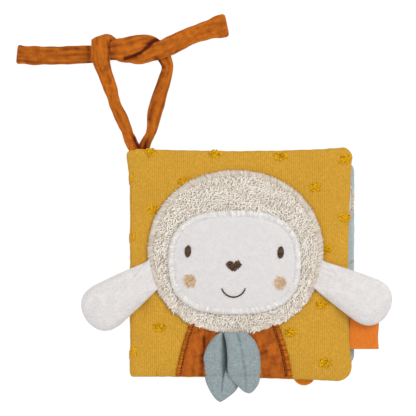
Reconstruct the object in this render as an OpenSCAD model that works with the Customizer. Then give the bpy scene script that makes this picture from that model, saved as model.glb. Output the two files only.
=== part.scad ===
// Closed padded cloth sensory book with a sheep on its front cover.
// X runs from the spine fold to the fore edge, Y towards the ties, Z up from the table.

/* [Book] */
// Width of the closed book, spine fold to fore edge, mm
book_w = 120; // [112:1:132]
// Height of the covers, mm
book_h = 123; // [116:1:136]
// Corner radius at the fore edge, mm
corner_r = 6; // [3:0.5:10]
// Corner radius beside the spine fold, mm
fold_corner_r = 2.5; // [1.5:0.5:4]
// How far the stuffed edges draw in between the corners, mm
edge_pinch = 1.2; // [0:0.1:2]

/* [Covers] */
// Thickness of the back cover's padded outer half, mm
back_pad_t = 4; // [3:0.5:7]
// Thickness of each cover's inner half, mm
lining_t = 3; // [2:0.5:5]
// Rise of the front cover's stuffing above its seam, mm
cover_puff = 4.5; // [2:0.5:8]
// Half thickness of a cover at its sewn edge, mm
seam_t = 0.8; // [0.5:0.1:1.5]
// Bulge of the spine's outer half, mm
spine_puff = 2; // [1:0.25:3]
// Bulge of the spine's inner half, mm
spine_lining_t = 0.9; // [0.5:0.1:1]
// Gap between a cover and the spine at each fold, mm
hinge_gap = 0.5; // [0.3:0.1:1]

/* [Pages] */
// Thickness of one stuffed leaf, mm
leaf_t = 6.6; // [4:0.2:9]
// Height of the leaves, mm
page_h = 110; // [100:1:114]
// How far the leaves pass the fore edge of the covers, mm
page_overhang = 2.5; // [0:0.5:4]
// Corner radius of the leaves, mm
page_corner_r = 5; // [3:0.5:10]
// Gap between the two leaves, mm
leaf_gap = 0.4; // [0.2:0.1:1]
// Gap between the leaves and each lining, mm
lining_clear = 0.3; // [0.2:0.1:1]
// Width of the cream patch on the first leaf, mm
cloud_w = 17.8; // [10:0.2:24]
// Height of the cream patch, mm
cloud_h = 18; // [10:0.5:24]
// Distance from the leaf's top edge to the middle of the cream patch, mm
cloud_down = 21; // [12:0.5:60]
// Thickness of the cream patch, mm
cloud_t = 0.6; // [0.4:0.1:1]
// Width of the cloth tongue at the bottom edge, mm
tab_w = 10.4; // [6:0.2:16]
// Length of the cloth tongue, mm
tab_l = 10.6; // [8:0.2:16]
// Thickness of the cloth tongue, mm
tab_t = 1.2; // [0.8:0.1:1.4]

/* [Head] */
// Width of the fleece oval with its stitched edge, mm
fleece_w = 94.4; // [84:0.2:98]
// Height of the fleece oval with its stitched edge, mm
fleece_h = 88; // [78:0.5:92]
// Width of the stitched edge round the fleece, mm
fleece_edge = 2.8; // [1.5:0.1:4]
// Height of the stitched edge round the fleece, mm
fleece_edge_t = 1.3; // [0.8:0.1:2]
// Thickness of the fleece at its rim, mm
fleece_rim = 1.4; // [0.8:0.1:3]
// Rise of the fleece towards its middle, mm
fleece_puff = 2.2; // [0.5:0.1:5]
// Width of the face with its satin edge, mm
face_w = 71; // [60:0.5:74]
// Height of the face with its satin edge, mm
face_h = 56; // [48:0.5:58]
// Width of the satin edge, mm
face_edge = 2.4; // [1.5:0.1:3.5]
// Height of the satin edge, mm
face_edge_t = 1.7; // [1:0.1:2.5]
// Rise of the face towards its middle, mm
face_puff = 1.2; // [0.3:0.1:2.5]

/* [Features] */
// Width of an embroidered eye, mm
eye_w = 3.2; // [2:0.1:5]
// Height of an embroidered eye, mm
eye_h = 6.2; // [4:0.1:8]
// Distance between the eyes, mm
eye_spread = 49.8; // [40:0.2:54]
// Width of the nose, mm
nose_w = 7.8; // [5:0.1:10]
// Height of the nose, mm
nose_h = 5.2; // [3:0.1:7]
// Radius of the smile, mm
mouth_r = 6.6; // [4:0.1:9]
// Width of the smile's thread line, mm
mouth_t = 0.9; // [0.6:0.1:1.5]
// Diameter of a cheek, mm
cheek_d = 7.6; // [5:0.1:9]
// Distance between the cheeks, mm
cheek_spread = 48.4; // [40:0.2:52]
// Height of the embroidery above the face, mm
thread_t = 0.6; // [0.4:0.1:1]

/* [Ears] */
// Length of an ear from the head's edge, mm
ear_l = 43.5; // [30:0.5:50]
// Greatest width of an ear, mm
ear_w = 25.6; // [16:0.2:28]
// Width of an ear where it joins the head, mm
ear_root_w = 15.4; // [10:0.5:19]
// Rise of an ear's upper side, mm
ear_puff = 5.2; // [3:0.2:7]

/* [Neck and shirt] */
// Width of the shirt under the chin, mm
shirt_top_w = 47.5; // [40:0.5:52]
// Width of the shirt at the bottom seam, mm
shirt_hem_w = 61.5; // [54:0.5:66]
// Height that the neck's middle line stands above the head's lower end, mm
neck_in = 3.5; // [2:0.1:6]
// Thickness of the shirt cloth with its backing, mm
shirt_t = 1; // [0.6:0.1:2]
// Depth of the shirt's creases, mm
shirt_crease = 0.5; // [0:0.1:1]
// Width of a scarf leaf, mm
leaf_w = 18.2; // [14:0.2:20]
// Length of the longer scarf leaf, mm
leaf_l = 38; // [30:0.5:42]
// Thickness of a scarf leaf, mm
scarf_t = 2.2; // [1.4:0.1:3]

/* [Trim] */
// Width of the folded ribbon, mm
label_w = 16.5; // [10:0.5:20]
// Height of the ribbon's middle above the cover's bottom edge, mm
label_up = 23.5; // [12:0.5:60]
// Length of the folded ribbon past the seam, mm
label_l = 15.8; // [8:0.2:18]
// Thickness of one ply of the ribbon, mm
label_ply = 0.8; // [0.5:0.1:1]
// Length of a knitted tuft, mm
tuft_l = 6.8; // [4:0.2:8]
// Width of a knitted tuft, mm
tuft_w = 4.6; // [3:0.2:6]
// Height of a knitted tuft, mm
tuft_t = 1; // [0.5:0.1:1.5]
// Spacing of the tufts along a row, mm
tuft_pitch = 35.4; // [30:0.2:44]
// Spacing of the tuft rows, mm
tuft_rows = 15.8; // [13:0.2:20]

/* [Hidden] */
// Gap under and beside each sewn-on piece
seat = 0.25;
// Gap under the embroidery
thread_seat = 0.12;

back_seam = back_pad_t;
page_z0 = back_seam + lining_t + lining_clear;
leaf_mid1 = page_z0 + leaf_t / 2;
leaf_mid2 = leaf_mid1 + leaf_t + leaf_gap;
page_z1 = leaf_mid2 + leaf_t / 2;
front_seam = page_z1 + lining_clear + cloud_t + 0.2 + lining_t;

hinge_x = -book_w / 2 + spine_puff;
panel_l = hinge_x + hinge_gap;
panel_r = book_w / 2;
panel_w = panel_r - panel_l;
panel_x = (panel_l + panel_r) / 2;
lining_l = panel_l + spine_lining_t + 0.3;
page_l = panel_l + lining_t;
page_r = panel_r + page_overhang;
page_x = (page_l + page_r) / 2;
leaf_rim = 1.4;

head = [-2.2, 6.2];
face = [-2.7, 0.7];
eyes = [-2.9, 6.4];
nose = [-3.1, -0.9];
mouth = [-3.3, -11.2];
cheeks = [-2.6, -9.8];
ear_left_root = [head.x - fleece_w / 2 + 2.2, head.y - 12.2];
ear_left_turn = 214;
ear_right_root = [head.x + fleece_w / 2 - 1.8, head.y - 12.2];
ear_right_turn = -28.5;
shirt_top_x = -3.4;
shirt_hem_x = -3.1;
neck_y = head.y - fleece_h / 2 + neck_in;
label_y = -book_h / 2 + label_up;
tab_x = 35.2;
cloud_y = page_h / 2 - cloud_down;
tuft_first = [-book_w / 2 + 11.7, book_h / 2 - 0.75];
tuft_lead = 0.86;
tuft_slant = 0.041;
shirt_pleats = [-20.5, -30, 14.5, 24];

function clamp01(v) = max(0, min(1, v));
function flip(v) = v < 0 ? -1 : 1;
function pillow(u, v, p) = sqrt(max(0, 1 - pow(abs(u), p))) * sqrt(max(0, 1 - pow(abs(v), p)));

// Closed curve with semi-axes a and b, rounder than a rectangle and fuller than an ellipse.
function oval(c, a, b, p, n) = [
  for (i = [0:n - 1])
    let (t = 360 * i / n)
    [c.x + a * flip(cos(t)) * pow(abs(cos(t)), 2 / p), c.y + b * flip(sin(t)) * pow(abs(sin(t)), 2 / p)]
];
function oval_reach(q, c, a, b, p) = pow(pow(abs(q.x - c.x) / a, p) + pow(abs(q.y - c.y) / b, p), 1 / p);

function corner(c, r, a0, n) = [for (i = [0:n]) [c.x + r * cos(a0 + 90 * i / n), c.y + r * sin(a0 + 90 * i / n)]];
function along(p, q, n) = [for (i = [1:n - 1]) p + (q - p) * i / n];

// Rounded rectangle, anticlockwise, with its own radius at the left corners.
function panel_outline(xl, xr, h, rl, rr, n) = concat(
  corner([xr - rr, h / 2 - rr], rr, 0, 4),
  along([xr - rr, h / 2], [xl + rl, h / 2], n),
  corner([xl + rl, h / 2 - rl], rl, 90, 3),
  along([xl, h / 2 - rl], [xl, -h / 2 + rl], n),
  corner([xl + rl, -h / 2 + rl], rl, 180, 3),
  along([xl + rl, -h / 2], [xr - rr, -h / 2], n),
  corner([xr - rr, -h / 2 + rr], rr, 270, 4),
  along([xr, -h / 2 + rr], [xr, h / 2 - rr], n)
);

// Stuffing draws the free edges in between the corners.
function drawn_in(q) =
  let (u = (q.x - panel_x) / (panel_w / 2), v = 2 * q.y / book_h)
  [q.x - edge_pinch * (1 - v * v) * max(0, u), q.y * (1 - 2 * edge_pinch / book_h * (1 - u * u))];
function cover_u(x, y) =
  let (v = 2 * y / book_h, draw = x > panel_x ? edge_pinch * (1 - v * v) : 0)
  (x - panel_x) / (panel_w / 2 - draw);
function cover_v(x, y) =
  let (u = clamp01(abs(x - panel_x) / (panel_w / 2)))
  2 * y / (book_h * (1 - 2 * edge_pinch / book_h * (1 - u * u)));
function cover_fill(x, y, p) = pillow(cover_u(x, y), cover_v(x, y), p);
function cover_z(x, y) = front_seam + seam_t + cover_puff * cover_fill(x, y, 4);

function leaf_fill(x, y) = pillow((x - page_x) / (page_r - page_l) * 2, 2 * y / page_h, 8);
function leaf_top(x, y) = leaf_mid2 + leaf_rim / 2 + (leaf_t - leaf_rim) / 2 * leaf_fill(x, y);

function head_reach(x, y, grow) =
  oval_reach([x, y], head, fleece_w / 2 + grow, fleece_h / 2 + grow, 2.1);
function fleece_top(x, y) =
  let (s = clamp01(head_reach(x, y, -fleece_edge)))
  cover_z(x, y) + seat + fleece_rim + fleece_puff * sqrt(1 - s * s);
function face_top(x, y) =
  let (s = clamp01(oval_reach([x, y], face, face_w / 2 - face_edge, face_h / 2 - face_edge, 2.8)))
  fleece_top(x, y) + seat + 0.9 + face_puff * sqrt(1 - s * s);

// Closed pad over an outline: rings shrink to the middle c, and low and high give the two surfaces.
module pad(outline, c, low_rings, high_rings, low, high) {
  n = len(outline);
  a = len(high_rings);
  b = len(low_rings);
  top = [
    for (s = high_rings)
      for (q = outline)
        let (x = c.x + (q.x - c.x) * s, y = c.y + (q.y - c.y) * s)
        [x, y, high(x, y, s)]
  ];
  base = [
    for (s = low_rings)
      for (q = outline)
        let (x = c.x + (q.x - c.x) * s, y = c.y + (q.y - c.y) * s)
        [x, y, low(x, y, s)]
  ];
  o = n * a;
  mid_top = o + n * b;
  mid_base = mid_top + 1;
  sides = [
    for (i = [0:n - 1])
      let (j = (i + 1) % n)
      each [[i, j, o + j], [i, o + j, o + i]]
  ];
  upper = [
    for (k = [0:1:a - 2])
      for (i = [0:n - 1])
        let (j = (i + 1) % n)
        each [[k * n + i, (k + 1) * n + i, (k + 1) * n + j], [k * n + i, (k + 1) * n + j, k * n + j]]
  ];
  lower = [
    for (k = [0:1:b - 2])
      for (i = [0:n - 1])
        let (j = (i + 1) % n)
        each [
          [o + k * n + i, o + k * n + j, o + (k + 1) * n + j],
          [o + k * n + i, o + (k + 1) * n + j, o + (k + 1) * n + i]
        ]
  ];
  caps = [
    for (i = [0:n - 1])
      let (j = (i + 1) % n)
      each [
        [(a - 1) * n + i, mid_top, (a - 1) * n + j],
        [o + (b - 1) * n + i, o + (b - 1) * n + j, mid_base]
      ]
  ];
  polyhedron(
    points = concat(top, base, [[c.x, c.y, high(c.x, c.y, 0)], [c.x, c.y, low(c.x, c.y, 0)]]),
    faces = concat(sides, upper, lower, caps),
    convexity = 4
  );
}

// Closed welt between two outlines of as many points; shape lists [share across, height].
module welt(outer, inner, base, shape) {
  n = len(outer);
  m = len(shape);
  rim = [
    for (i = [0:n - 1])
      for (f = shape)
        let (q = outer[i] + (inner[i] - outer[i]) * f.x)
        [q.x, q.y, base(q.x, q.y) + f.y]
  ];
  skin = [
    for (i = [0:n - 1])
      for (k = [0:m - 1])
        let (j = (i + 1) % n, l = (k + 1) % m)
        each [[i * m + k, i * m + l, j * m + l], [i * m + k, j * m + l, j * m + k]]
  ];
  polyhedron(points = rim, faces = skin, convexity = 6);
}

// Cloth laid over a grid of plan points, rows by columns, between two surfaces.
module patch(grid, low, high) {
  r = len(grid);
  n = len(grid[0]);
  top = [for (i = [0:r - 1]) for (k = [0:n - 1]) let (q = grid[i][k]) [q.x, q.y, high(q.x, q.y, i, k)]];
  base = [for (i = [0:r - 1]) for (k = [0:n - 1]) let (q = grid[i][k]) [q.x, q.y, low(q.x, q.y, i, k)]];
  o = r * n;
  upper = [
    for (i = [0:r - 2])
      for (k = [0:n - 2])
        each [[i * n + k, i * n + k + 1, (i + 1) * n + k + 1], [i * n + k, (i + 1) * n + k + 1, (i + 1) * n + k]]
  ];
  lower = [for (f = upper) [o + f[0], o + f[2], o + f[1]]];
  edge = concat(
    [for (k = [0:n - 1]) k],
    [for (i = [1:r - 1]) i * n + n - 1],
    [for (k = [n - 2:-1:0]) (r - 1) * n + k],
    [for (i = [r - 2:-1:1]) i * n]
  );
  m = len(edge);
  sides = [
    for (i = [0:m - 1])
      let (p = edge[i], q = edge[(i + 1) % m])
      each [[p, o + p, o + q], [p, o + q, q]]
  ];
  polyhedron(points = concat(top, base), faces = concat(upper, lower, sides), convexity = 4);
}

function unit(v) = v / norm(v);
function heading(path, i) =
  let (a = path[max(0, i - 1)], b = path[min(len(path) - 1, i + 1)])
  unit([b[0] - a[0], b[1] - a[1], b[2] - a[2]]);
// The band's width direction is carried along the path and kept level.
function across(path, i) =
  let (t = heading(path, i), w = i == 0 ? cross(t, [0, 0, 1]) : across(path, i - 1), p = w - (w * t) * t)
  unit([p.x, p.y, 0]);

// Flat stuffed band swept along points [x, y, z, width, thickness].
module band(path, sides) {
  m = len(path);
  skin = [
    for (i = [0:m - 1])
      let (t = heading(path, i), w = across(path, i), h = unit(cross(w, t)))
      for (k = [0:sides - 1])
        let (
          a = 360 * (k + 0.5) / sides,
          u = flip(cos(a)) * pow(abs(cos(a)), 0.7) * path[i][3] / 2,
          v = flip(sin(a)) * pow(abs(sin(a)), 0.7) * path[i][4] / 2
        )
        [path[i][0], path[i][1], path[i][2]] + u * w + v * h
  ];
  walls = [
    for (i = [0:m - 2])
      for (k = [0:sides - 1])
        let (l = (k + 1) % sides)
        each [
          [i * sides + k, (i + 1) * sides + l, (i + 1) * sides + k],
          [i * sides + k, i * sides + l, (i + 1) * sides + l]
        ]
  ];
  far = (m - 1) * sides;
  ends = [
    for (k = [1:sides - 2])
      each [[0, k + 1, k], [far, far + k, far + k + 1]]
  ];
  polyhedron(points = skin, faces = concat(walls, ends), convexity = 8);
}

// Covers

module back_cover() {
  rim = [for (q = panel_outline(panel_l, panel_r, book_h, fold_corner_r, corner_r, 6)) drawn_in(q)];
  color("#cf9d39")
    pad(
      rim, [panel_x, 0], [1, 0.985, 0.95, 0.88, 0.8], [1],
      function (x, y, s) back_seam - min(back_seam, seam_t + back_pad_t * cover_fill(x, y, 8)),
      function (x, y, s) back_seam
    );
}

module lining_pad(low, high, low_rings, high_rings) {
  inset = 0.6;
  rim = panel_outline(
    lining_l, panel_r - edge_pinch - inset, book_h - 2 * edge_pinch - 2 * inset, fold_corner_r, corner_r, 3
  );
  pad(rim, [panel_x, 0], low_rings, high_rings, low, high);
}
function lining_fill(x, y) =
  pillow((x - panel_x) / (panel_w / 2 - 1), 2 * y / (book_h - 2 * edge_pinch), 10);
function lining_rise(x, y) = min(lining_t, 0.6 + lining_t * lining_fill(x, y));

module back_lining() {
  color("#b9c4c6")
    lining_pad(
      function (x, y, s) back_seam,
      function (x, y, s) back_seam + lining_rise(x, y),
      [1], [1, 0.97, 0.92]
    );
}

module front_lining() {
  color("#b9c4c6")
    lining_pad(
      function (x, y, s) front_seam - lining_rise(x, y),
      function (x, y, s) front_seam,
      [1, 0.97, 0.92], [1]
    );
}

module front_cover() {
  rim = [for (q = panel_outline(panel_l, panel_r, book_h, fold_corner_r, corner_r, 7)) drawn_in(q)];
  color("#d2a03c")
    pad(
      rim, [panel_x, 0], [1], [1, 0.985, 0.95, 0.88, 0.76, 0.55, 0.3],
      function (x, y, s) front_seam,
      function (x, y, s) cover_z(x, y)
    );
}

module spine_strip(low, high, low_rings, high_rings) {
  h = front_seam - back_seam - 2 * hinge_gap;
  rim = panel_outline(-h / 2, h / 2, book_h - 2 * seam_t, fold_corner_r, fold_corner_r, 5);
  translate([hinge_x, 0, (back_seam + front_seam) / 2])
    rotate([0, -90, 0])
      pad(rim, [0, 0], low_rings, high_rings, low, high);
}
function spine_fill(x, y) =
  pillow(2 * x / (front_seam - back_seam - 2 * hinge_gap), 2 * y / (book_h - 2 * seam_t), 3);

module spine() {
  color("#cc9a36")
    spine_strip(
      function (x, y, s) 0,
      function (x, y, s) seam_t / 2 + (spine_puff - seam_t / 2) * spine_fill(x, y),
      [1], [1, 0.94, 0.8, 0.5]
    );
}

module spine_lining() {
  color("#b9c4c6")
    spine_strip(
      function (x, y, s) -0.3 - (spine_lining_t - 0.3) * spine_fill(x, y),
      function (x, y, s) 0,
      [1, 0.8, 0.5], [1]
    );
}

// Pages

module leaf(mid) {
  rim = panel_outline(page_l, page_r, page_h, page_corner_r, page_corner_r, 3);
  half = leaf_rim / 2;
  rise = (leaf_t - leaf_rim) / 2;
  pad(
    rim, [page_x, 0], [1, 0.975, 0.92, 0.8], [1, 0.975, 0.92, 0.8],
    function (x, y, s) mid - half - rise * leaf_fill(x, y),
    function (x, y, s) mid + half + rise * leaf_fill(x, y)
  );
}

module pages() {
  gutter_w = 4;
  gutter_h = page_h - 2 * page_corner_r;
  color("#a1adae") {
    leaf(leaf_mid1);
    leaf(leaf_mid2);
    translate([page_l + 0.4, -gutter_h / 2, leaf_mid1])
      cube([gutter_w, gutter_h, leaf_mid2 - leaf_mid1]);
  }
}

module page_cloud() {
  c = [page_r - cloud_w / 2 - 0.2, cloud_y];
  color("#d1cec2")
    pad(
      oval(c, cloud_w / 2, cloud_h / 2, 4, 24), c, [1, 0.8, 0.5], [1, 0.8, 0.5],
      function (x, y, s) leaf_top(x, y) + thread_seat,
      function (x, y, s) leaf_top(x, y) + thread_seat + cloud_t * (s > 0.9 ? 0.6 : 1)
    );
}

module page_tab() {
  color("#b9642a")
    translate([tab_x, -page_h / 2 - seat, leaf_mid2 - tab_t / 2])
      linear_extrude(tab_t)
        union() {
          translate([-tab_w / 2, -tab_l + tab_w / 2])
            square([tab_w, tab_l - tab_w / 2]);
          translate([0, -tab_l + tab_w / 2])
            circle(r = tab_w / 2, $fn = 40);
        }
}

// Ties, measured from the book's top left corner: x, y, z, width, thickness

tie_corner = [-book_w / 2, book_h / 2, 0, 0, 0];
tie_left_route = [
  [3, -4, 2.2, 4.2, 2.6], [3, 0.6, 2.2, 4.2, 2.6], [1.6, 3.1, 2, 4.6, 2.6], [0.4, 5.8, 1.7, 5.6, 2.6],
  [-0.8, 8.5, 1.4, 6, 2.5], [-1.6, 11.3, 1.3, 6.2, 2.4], [-2.9, 14, 1.3, 6.6, 2.4],
  [-4, 16.8, 1.3, 6.9, 2.4], [-5.3, 19.5, 1.3, 6.8, 2.4], [-6.6, 22.3, 1.3, 6.5, 2.4],
  [-7.9, 25, 1.3, 6.5, 2.4], [-8.8, 28.3, 1.3, 6.8, 2.4], [-10, 32.4, 1.3, 7.1, 2.4],
  [-11.4, 36.5, 1.3, 7.5, 2.4], [-12.8, 40.4, 1.4, 8.1, 2.4], [-13.8, 43.4, 2.6, 8.6, 2.4],
  [-14.6, 45.9, 4.6, 9, 2.4], [-15.2, 48.3, 6.2, 9.4, 2.4], [-15.7, 51.9, 6.7, 9.8, 2.4],
  [-16, 55.2, 6.7, 9.9, 2.4], [-16, 58.2, 6.7, 9.8, 2.4], [-15.5, 60.7, 6.3, 9.6, 2.4],
  [-14.8, 62.3, 4.2, 9.4, 2.4], [-13.7, 61.6, 1.7, 9.2, 2.4], [-11.8, 59.5, 1.3, 9, 2.4],
  [-9.3, 56.9, 1.3, 8.8, 2.4], [-6.9, 54.6, 1.3, 8.6, 2.4], [-4.4, 53, 1.3, 8.4, 2.4],
  [-1.7, 52.2, 1.3, 8.2, 2.4], [1, 51.9, 1.3, 7.5, 2.4], [3.5, 51.2, 1.6, 6.2, 2.4],
  [5.9, 51, 2.3, 5.2, 2.4], [8.4, 51.7, 3.3, 5.9, 2.4], [11.2, 52.9, 4.1, 8.2, 2.4],
  [13.9, 54, 4.3, 9.2, 2.4], [16.7, 55.1, 4.3, 9.8, 2.4], [19.7, 56.3, 4.1, 10, 2.4],
  [23.3, 58, 3, 10, 2.4], [27.6, 60.2, 1.8, 10, 2.4], [33.1, 62.9, 1.3, 10, 2.4],
  [38.6, 64.8, 1.3, 10.2, 2.4], [44.1, 66.6, 1.3, 11, 2.4], [49, 68, 1.3, 12.2, 2.4],
  [53.3, 68.9, 1.3, 13.2, 2.4]
];
tie_right_route = [
  [7.9, -4, 2.2, 4.8, 2.6], [7.9, 0.6, 2.2, 4.8, 2.6], [8.4, 3.1, 2, 4.8, 2.6],
  [9.6, 5.8, 1.7, 4.8, 2.6], [11.1, 8.5, 1.4, 5.2, 2.5], [12.1, 11.3, 1.3, 6, 2.4],
  [12.7, 14, 1.3, 6.7, 2.4], [13.1, 16.8, 1.3, 7.3, 2.4], [13.5, 19.5, 1.3, 7.8, 2.4],
  [14.1, 22.3, 1.3, 8, 2.4], [15, 25, 1.3, 8.1, 2.4], [15.7, 27.7, 1.3, 7.9, 2.4],
  [16.9, 31.9, 1.3, 7.8, 2.4], [18.3, 36, 1.3, 7.5, 2.4], [19.5, 40.1, 1.3, 7, 2.4],
  [20.5, 43.7, 1.3, 6.4, 2.4], [20.7, 46.7, 1.3, 6.5, 2.4], [19.8, 49.4, 1.3, 7, 2.4],
  [18.6, 51.9, 1.3, 7.6, 2.4], [16.9, 54.5, 1.3, 8.2, 2.4], [14.5, 57, 1.3, 8.4, 2.4],
  [11.6, 58.7, 1.6, 8.6, 2.4], [8.7, 59.5, 2.4, 8.5, 2.4], [5.9, 58.9, 3.6, 9.7, 2.4],
  [3, 58, 4.1, 10.4, 2.4], [0.2, 57.2, 4.2, 10.9, 2.4], [-2.5, 56.2, 4.2, 11.1, 2.4],
  [-5.3, 55.5, 4.2, 11.1, 2.4], [-8.3, 54.8, 4.1, 10.8, 2.4], [-11.9, 54.1, 4, 10.2, 2.4],
  [-15.7, 53.4, 3.3, 9.8, 2.4], [-20.1, 52.9, 2.2, 9.6, 2.4], [-25, 52.8, 1.4, 9.6, 2.4],
  [-31.6, 52.5, 1.3, 10, 2.4], [-38.2, 52.2, 1.3, 10.1, 2.4], [-45.9, 52.2, 1.3, 10.1, 2.4],
  [-53, 52.2, 1.3, 9.8, 2.4], [-57.4, 52.5, 1.3, 10.6, 2.4], [-61.7, 52.9, 1.3, 11.2, 2.4]
];

module tie_left() {
  color("#be6426")
    band([for (q = tie_left_route) q + tie_corner], 8);
}

module tie_right() {
  color("#be6426")
    band([for (q = tie_right_route) q + tie_corner], 8);
}

// Tufts

function ear_at(x, y, root, turn) =
  [(x - root.x) * cos(turn) + (y - root.y) * sin(turn), (y - root.y) * cos(turn) - (x - root.x) * sin(turn)];
function under_ear(x, y, root, turn) =
  let (q = ear_at(x, y, root, turn))
  abs(q.y) < ear_w / 2 + tuft_l / 2 && q.x > -tuft_l && q.x < ear_l + tuft_l / 2;
function on_shirt(x, y) = y < neck_y + 4 && abs(x - shirt_top_x) < shirt_hem_w / 2 + tuft_l / 2 + seat;
function tuft_free(x, y) =
  head_reach(x, y, tuft_l / 2 + seat) > 1
  && !under_ear(x, y, ear_left_root, ear_left_turn)
  && !under_ear(x, y, ear_right_root, ear_right_turn)
  && !on_shirt(x, y);

module tuft(c, ground) {
  pad(
    oval(c, tuft_l / 2, tuft_w / 2, 1.8, 10), c, [1], [1, 0.7],
    function (x, y, s) ground(x, y) + thread_seat,
    function (x, y, s) ground(x, y) + thread_seat + tuft_t * (s > 0.9 ? 0.35 : s > 0 ? 0.8 : 1)
  );
}

module cover_tufts() {
  reach_y = book_h / 2 - edge_pinch - tuft_w / 2 - 0.4;
  reach_x = panel_r - edge_pinch - tuft_l / 2 - 0.4;
  color("#dea51c")
    for (k = [0:8])
      for (j = [-1:4]) {
        x0 = tuft_first.x + tuft_pitch * (j - (k % 2) / 2) + tuft_lead * k;
        y0 = tuft_first.y - tuft_rows * k - tuft_slant * (x0 - tuft_first.x);
        x = min(x0, reach_x);
        y = max(-reach_y, min(reach_y, y0));
        inside = x0 > panel_l + tuft_l / 2 + 0.4 && x0 < panel_r + 1 && abs(y0) < book_h / 2 + 2;
        if (inside && tuft_free(x, y))
          tuft([x, y], function (p, q) cover_z(p, q));
      }
}

module spine_tufts() {
  color("#dea51c")
    translate([hinge_x, 0, (back_seam + front_seam) / 2])
      rotate([0, -90, 0])
        for (k = [1:2:7])
          tuft([0, tuft_first.y - tuft_rows * k], function (p, q) seam_t / 2 + (spine_puff - seam_t / 2) * spine_fill(p, q));
}

// Head

module fleece() {
  a = fleece_w / 2 - fleece_edge - seat / 2;
  b = fleece_h / 2 - fleece_edge - seat / 2;
  color("#d2c5b6")
    pad(
      oval(head, a, b, 2.1, 40), head, [1, 0.8, 0.5], [1, 0.975, 0.9, 0.75, 0.45],
      function (x, y, s) cover_z(x, y) + seat,
      function (x, y, s) fleece_top(x, y)
    );
}

module fleece_border() {
  d = fleece_edge - seat / 2;
  color("#e6dccb")
    welt(
      oval(head, fleece_w / 2, fleece_h / 2, 2.1, 48),
      oval(head, fleece_w / 2 - d, fleece_h / 2 - d, 2.1, 48),
      function (x, y) cover_z(x, y) + seat,
      [[0, 0], [0.08, fleece_edge_t * 0.6], [0.4, fleece_edge_t], [0.92, fleece_edge_t * 0.8], [1, 0]]
    );
}

module face() {
  a = face_w / 2 - face_edge - seat / 2;
  b = face_h / 2 - face_edge - seat / 2;
  color("#e1dcdb")
    pad(
      oval(face, a, b, 2.8, 36), face, [1, 0.8, 0.5], [1, 0.96, 0.84, 0.55],
      function (x, y, s) fleece_top(x, y) + seat,
      function (x, y, s) face_top(x, y)
    );
}

module face_border() {
  d = face_edge - seat / 2;
  color("#eeeae6")
    welt(
      oval(face, face_w / 2, face_h / 2, 2.8, 40),
      oval(face, face_w / 2 - d, face_h / 2 - d, 2.8, 40),
      function (x, y) fleece_top(x, y) + seat,
      [[0, 0], [0.06, face_edge_t * 0.6], [0.5, face_edge_t], [0.94, face_edge_t * 0.6], [1, 0]]
    );
}

module stitched(outline, c, t) {
  pad(
    outline, c, [1], [1, 0.6],
    function (x, y, s) face_top(x, y) + thread_seat,
    function (x, y, s) face_top(x, y) + thread_seat + t * (s > 0.9 ? 0.5 : 1)
  );
}

module eye_left() {
  c = [eyes.x - eye_spread / 2, eyes.y];
  color("#5c4734")
    stitched(oval(c, eye_w / 2, eye_h / 2, 2, 14), c, thread_t);
}

module eye_right() {
  c = [eyes.x + eye_spread / 2, eyes.y];
  color("#5c4734")
    stitched(oval(c, eye_w / 2, eye_h / 2, 2, 14), c, thread_t);
}

// Rounded heart, point down.
module nose() {
  rim = [
    for (i = [0:21])
      let (t = 90 - 360 * i / 22, s = sin(t), c = 13 * cos(t) - 5 * cos(2 * t) - 2 * cos(3 * t) - cos(4 * t))
      [nose.x + nose_w / 32 * 16 * s * s * s, nose.y + nose_h / 29 * (c + 2.5)]
  ];
  color("#6b5844")
    stitched(rim, [nose.x, nose.y - nose_h * 0.08], thread_t);
}

module mouth() {
  smile = [
    for (i = [0:9])
      let (t = 198 + 144 * i / 9, x = mouth.x + mouth_r * cos(t), y = mouth.y + mouth_r * sin(t))
      [x, y, face_top(x, y) + thread_seat + mouth_t / 2, mouth_t, mouth_t]
  ];
  color("#6b5844")
    band(smile, 6);
}

module cheek_left() {
  c = [cheeks.x - cheek_spread / 2, cheeks.y + 0.6];
  color("#d6a986")
    stitched(oval(c, cheek_d / 2, cheek_d / 2, 2, 16), c, thread_t * 0.7);
}

module cheek_right() {
  c = [cheeks.x + cheek_spread / 2, cheeks.y - 0.6];
  color("#d6a986")
    stitched(oval(c, cheek_d / 2, cheek_d / 2, 2, 16), c, thread_t * 0.7);
}

// Ears: stuffed leaves that narrow to the head's edge and lie level past the covers.

ear_mid = front_seam + cover_puff + seam_t + 0.4;
function ear_half(t) =
  let (
    open = clamp01(t / (0.68 * ear_l)),
    grow = ear_root_w / ear_w + (1 - ear_root_w / ear_w) * open * (1.25 - 0.25 * open),
    past = clamp01((t - 0.72 * ear_l) / (0.28 * ear_l))
  )
  ear_w / 2 * grow * sqrt(max(0, 1 - pow(past, 2.4)));
function clear_of_head(q) =
  let (r = head_reach(q.x, q.y, seat))
  r < 1 ? head + (q - head) / r : q;
function ear_outline(root, turn) =
  let (
    steps = [-0.1, -0.03, 0.06, 0.18, 0.32, 0.48, 0.62, 0.74, 0.84, 0.92, 0.97, 0.995],
    right = [for (f = steps) [f * ear_l, -ear_half(f * ear_l)]],
    left = [for (i = [len(steps) - 1:-1:0]) [right[i].x, -right[i].y]],
    heel = [for (f = [0.6, 0.2, -0.2, -0.6]) [steps[0] * ear_l, f * ear_root_w / 2]]
  )
  [
    for (q = concat(right, left, heel))
      clear_of_head([root.x + q.x * cos(turn) - q.y * sin(turn), root.y + q.x * sin(turn) + q.y * cos(turn)])
  ];

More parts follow.
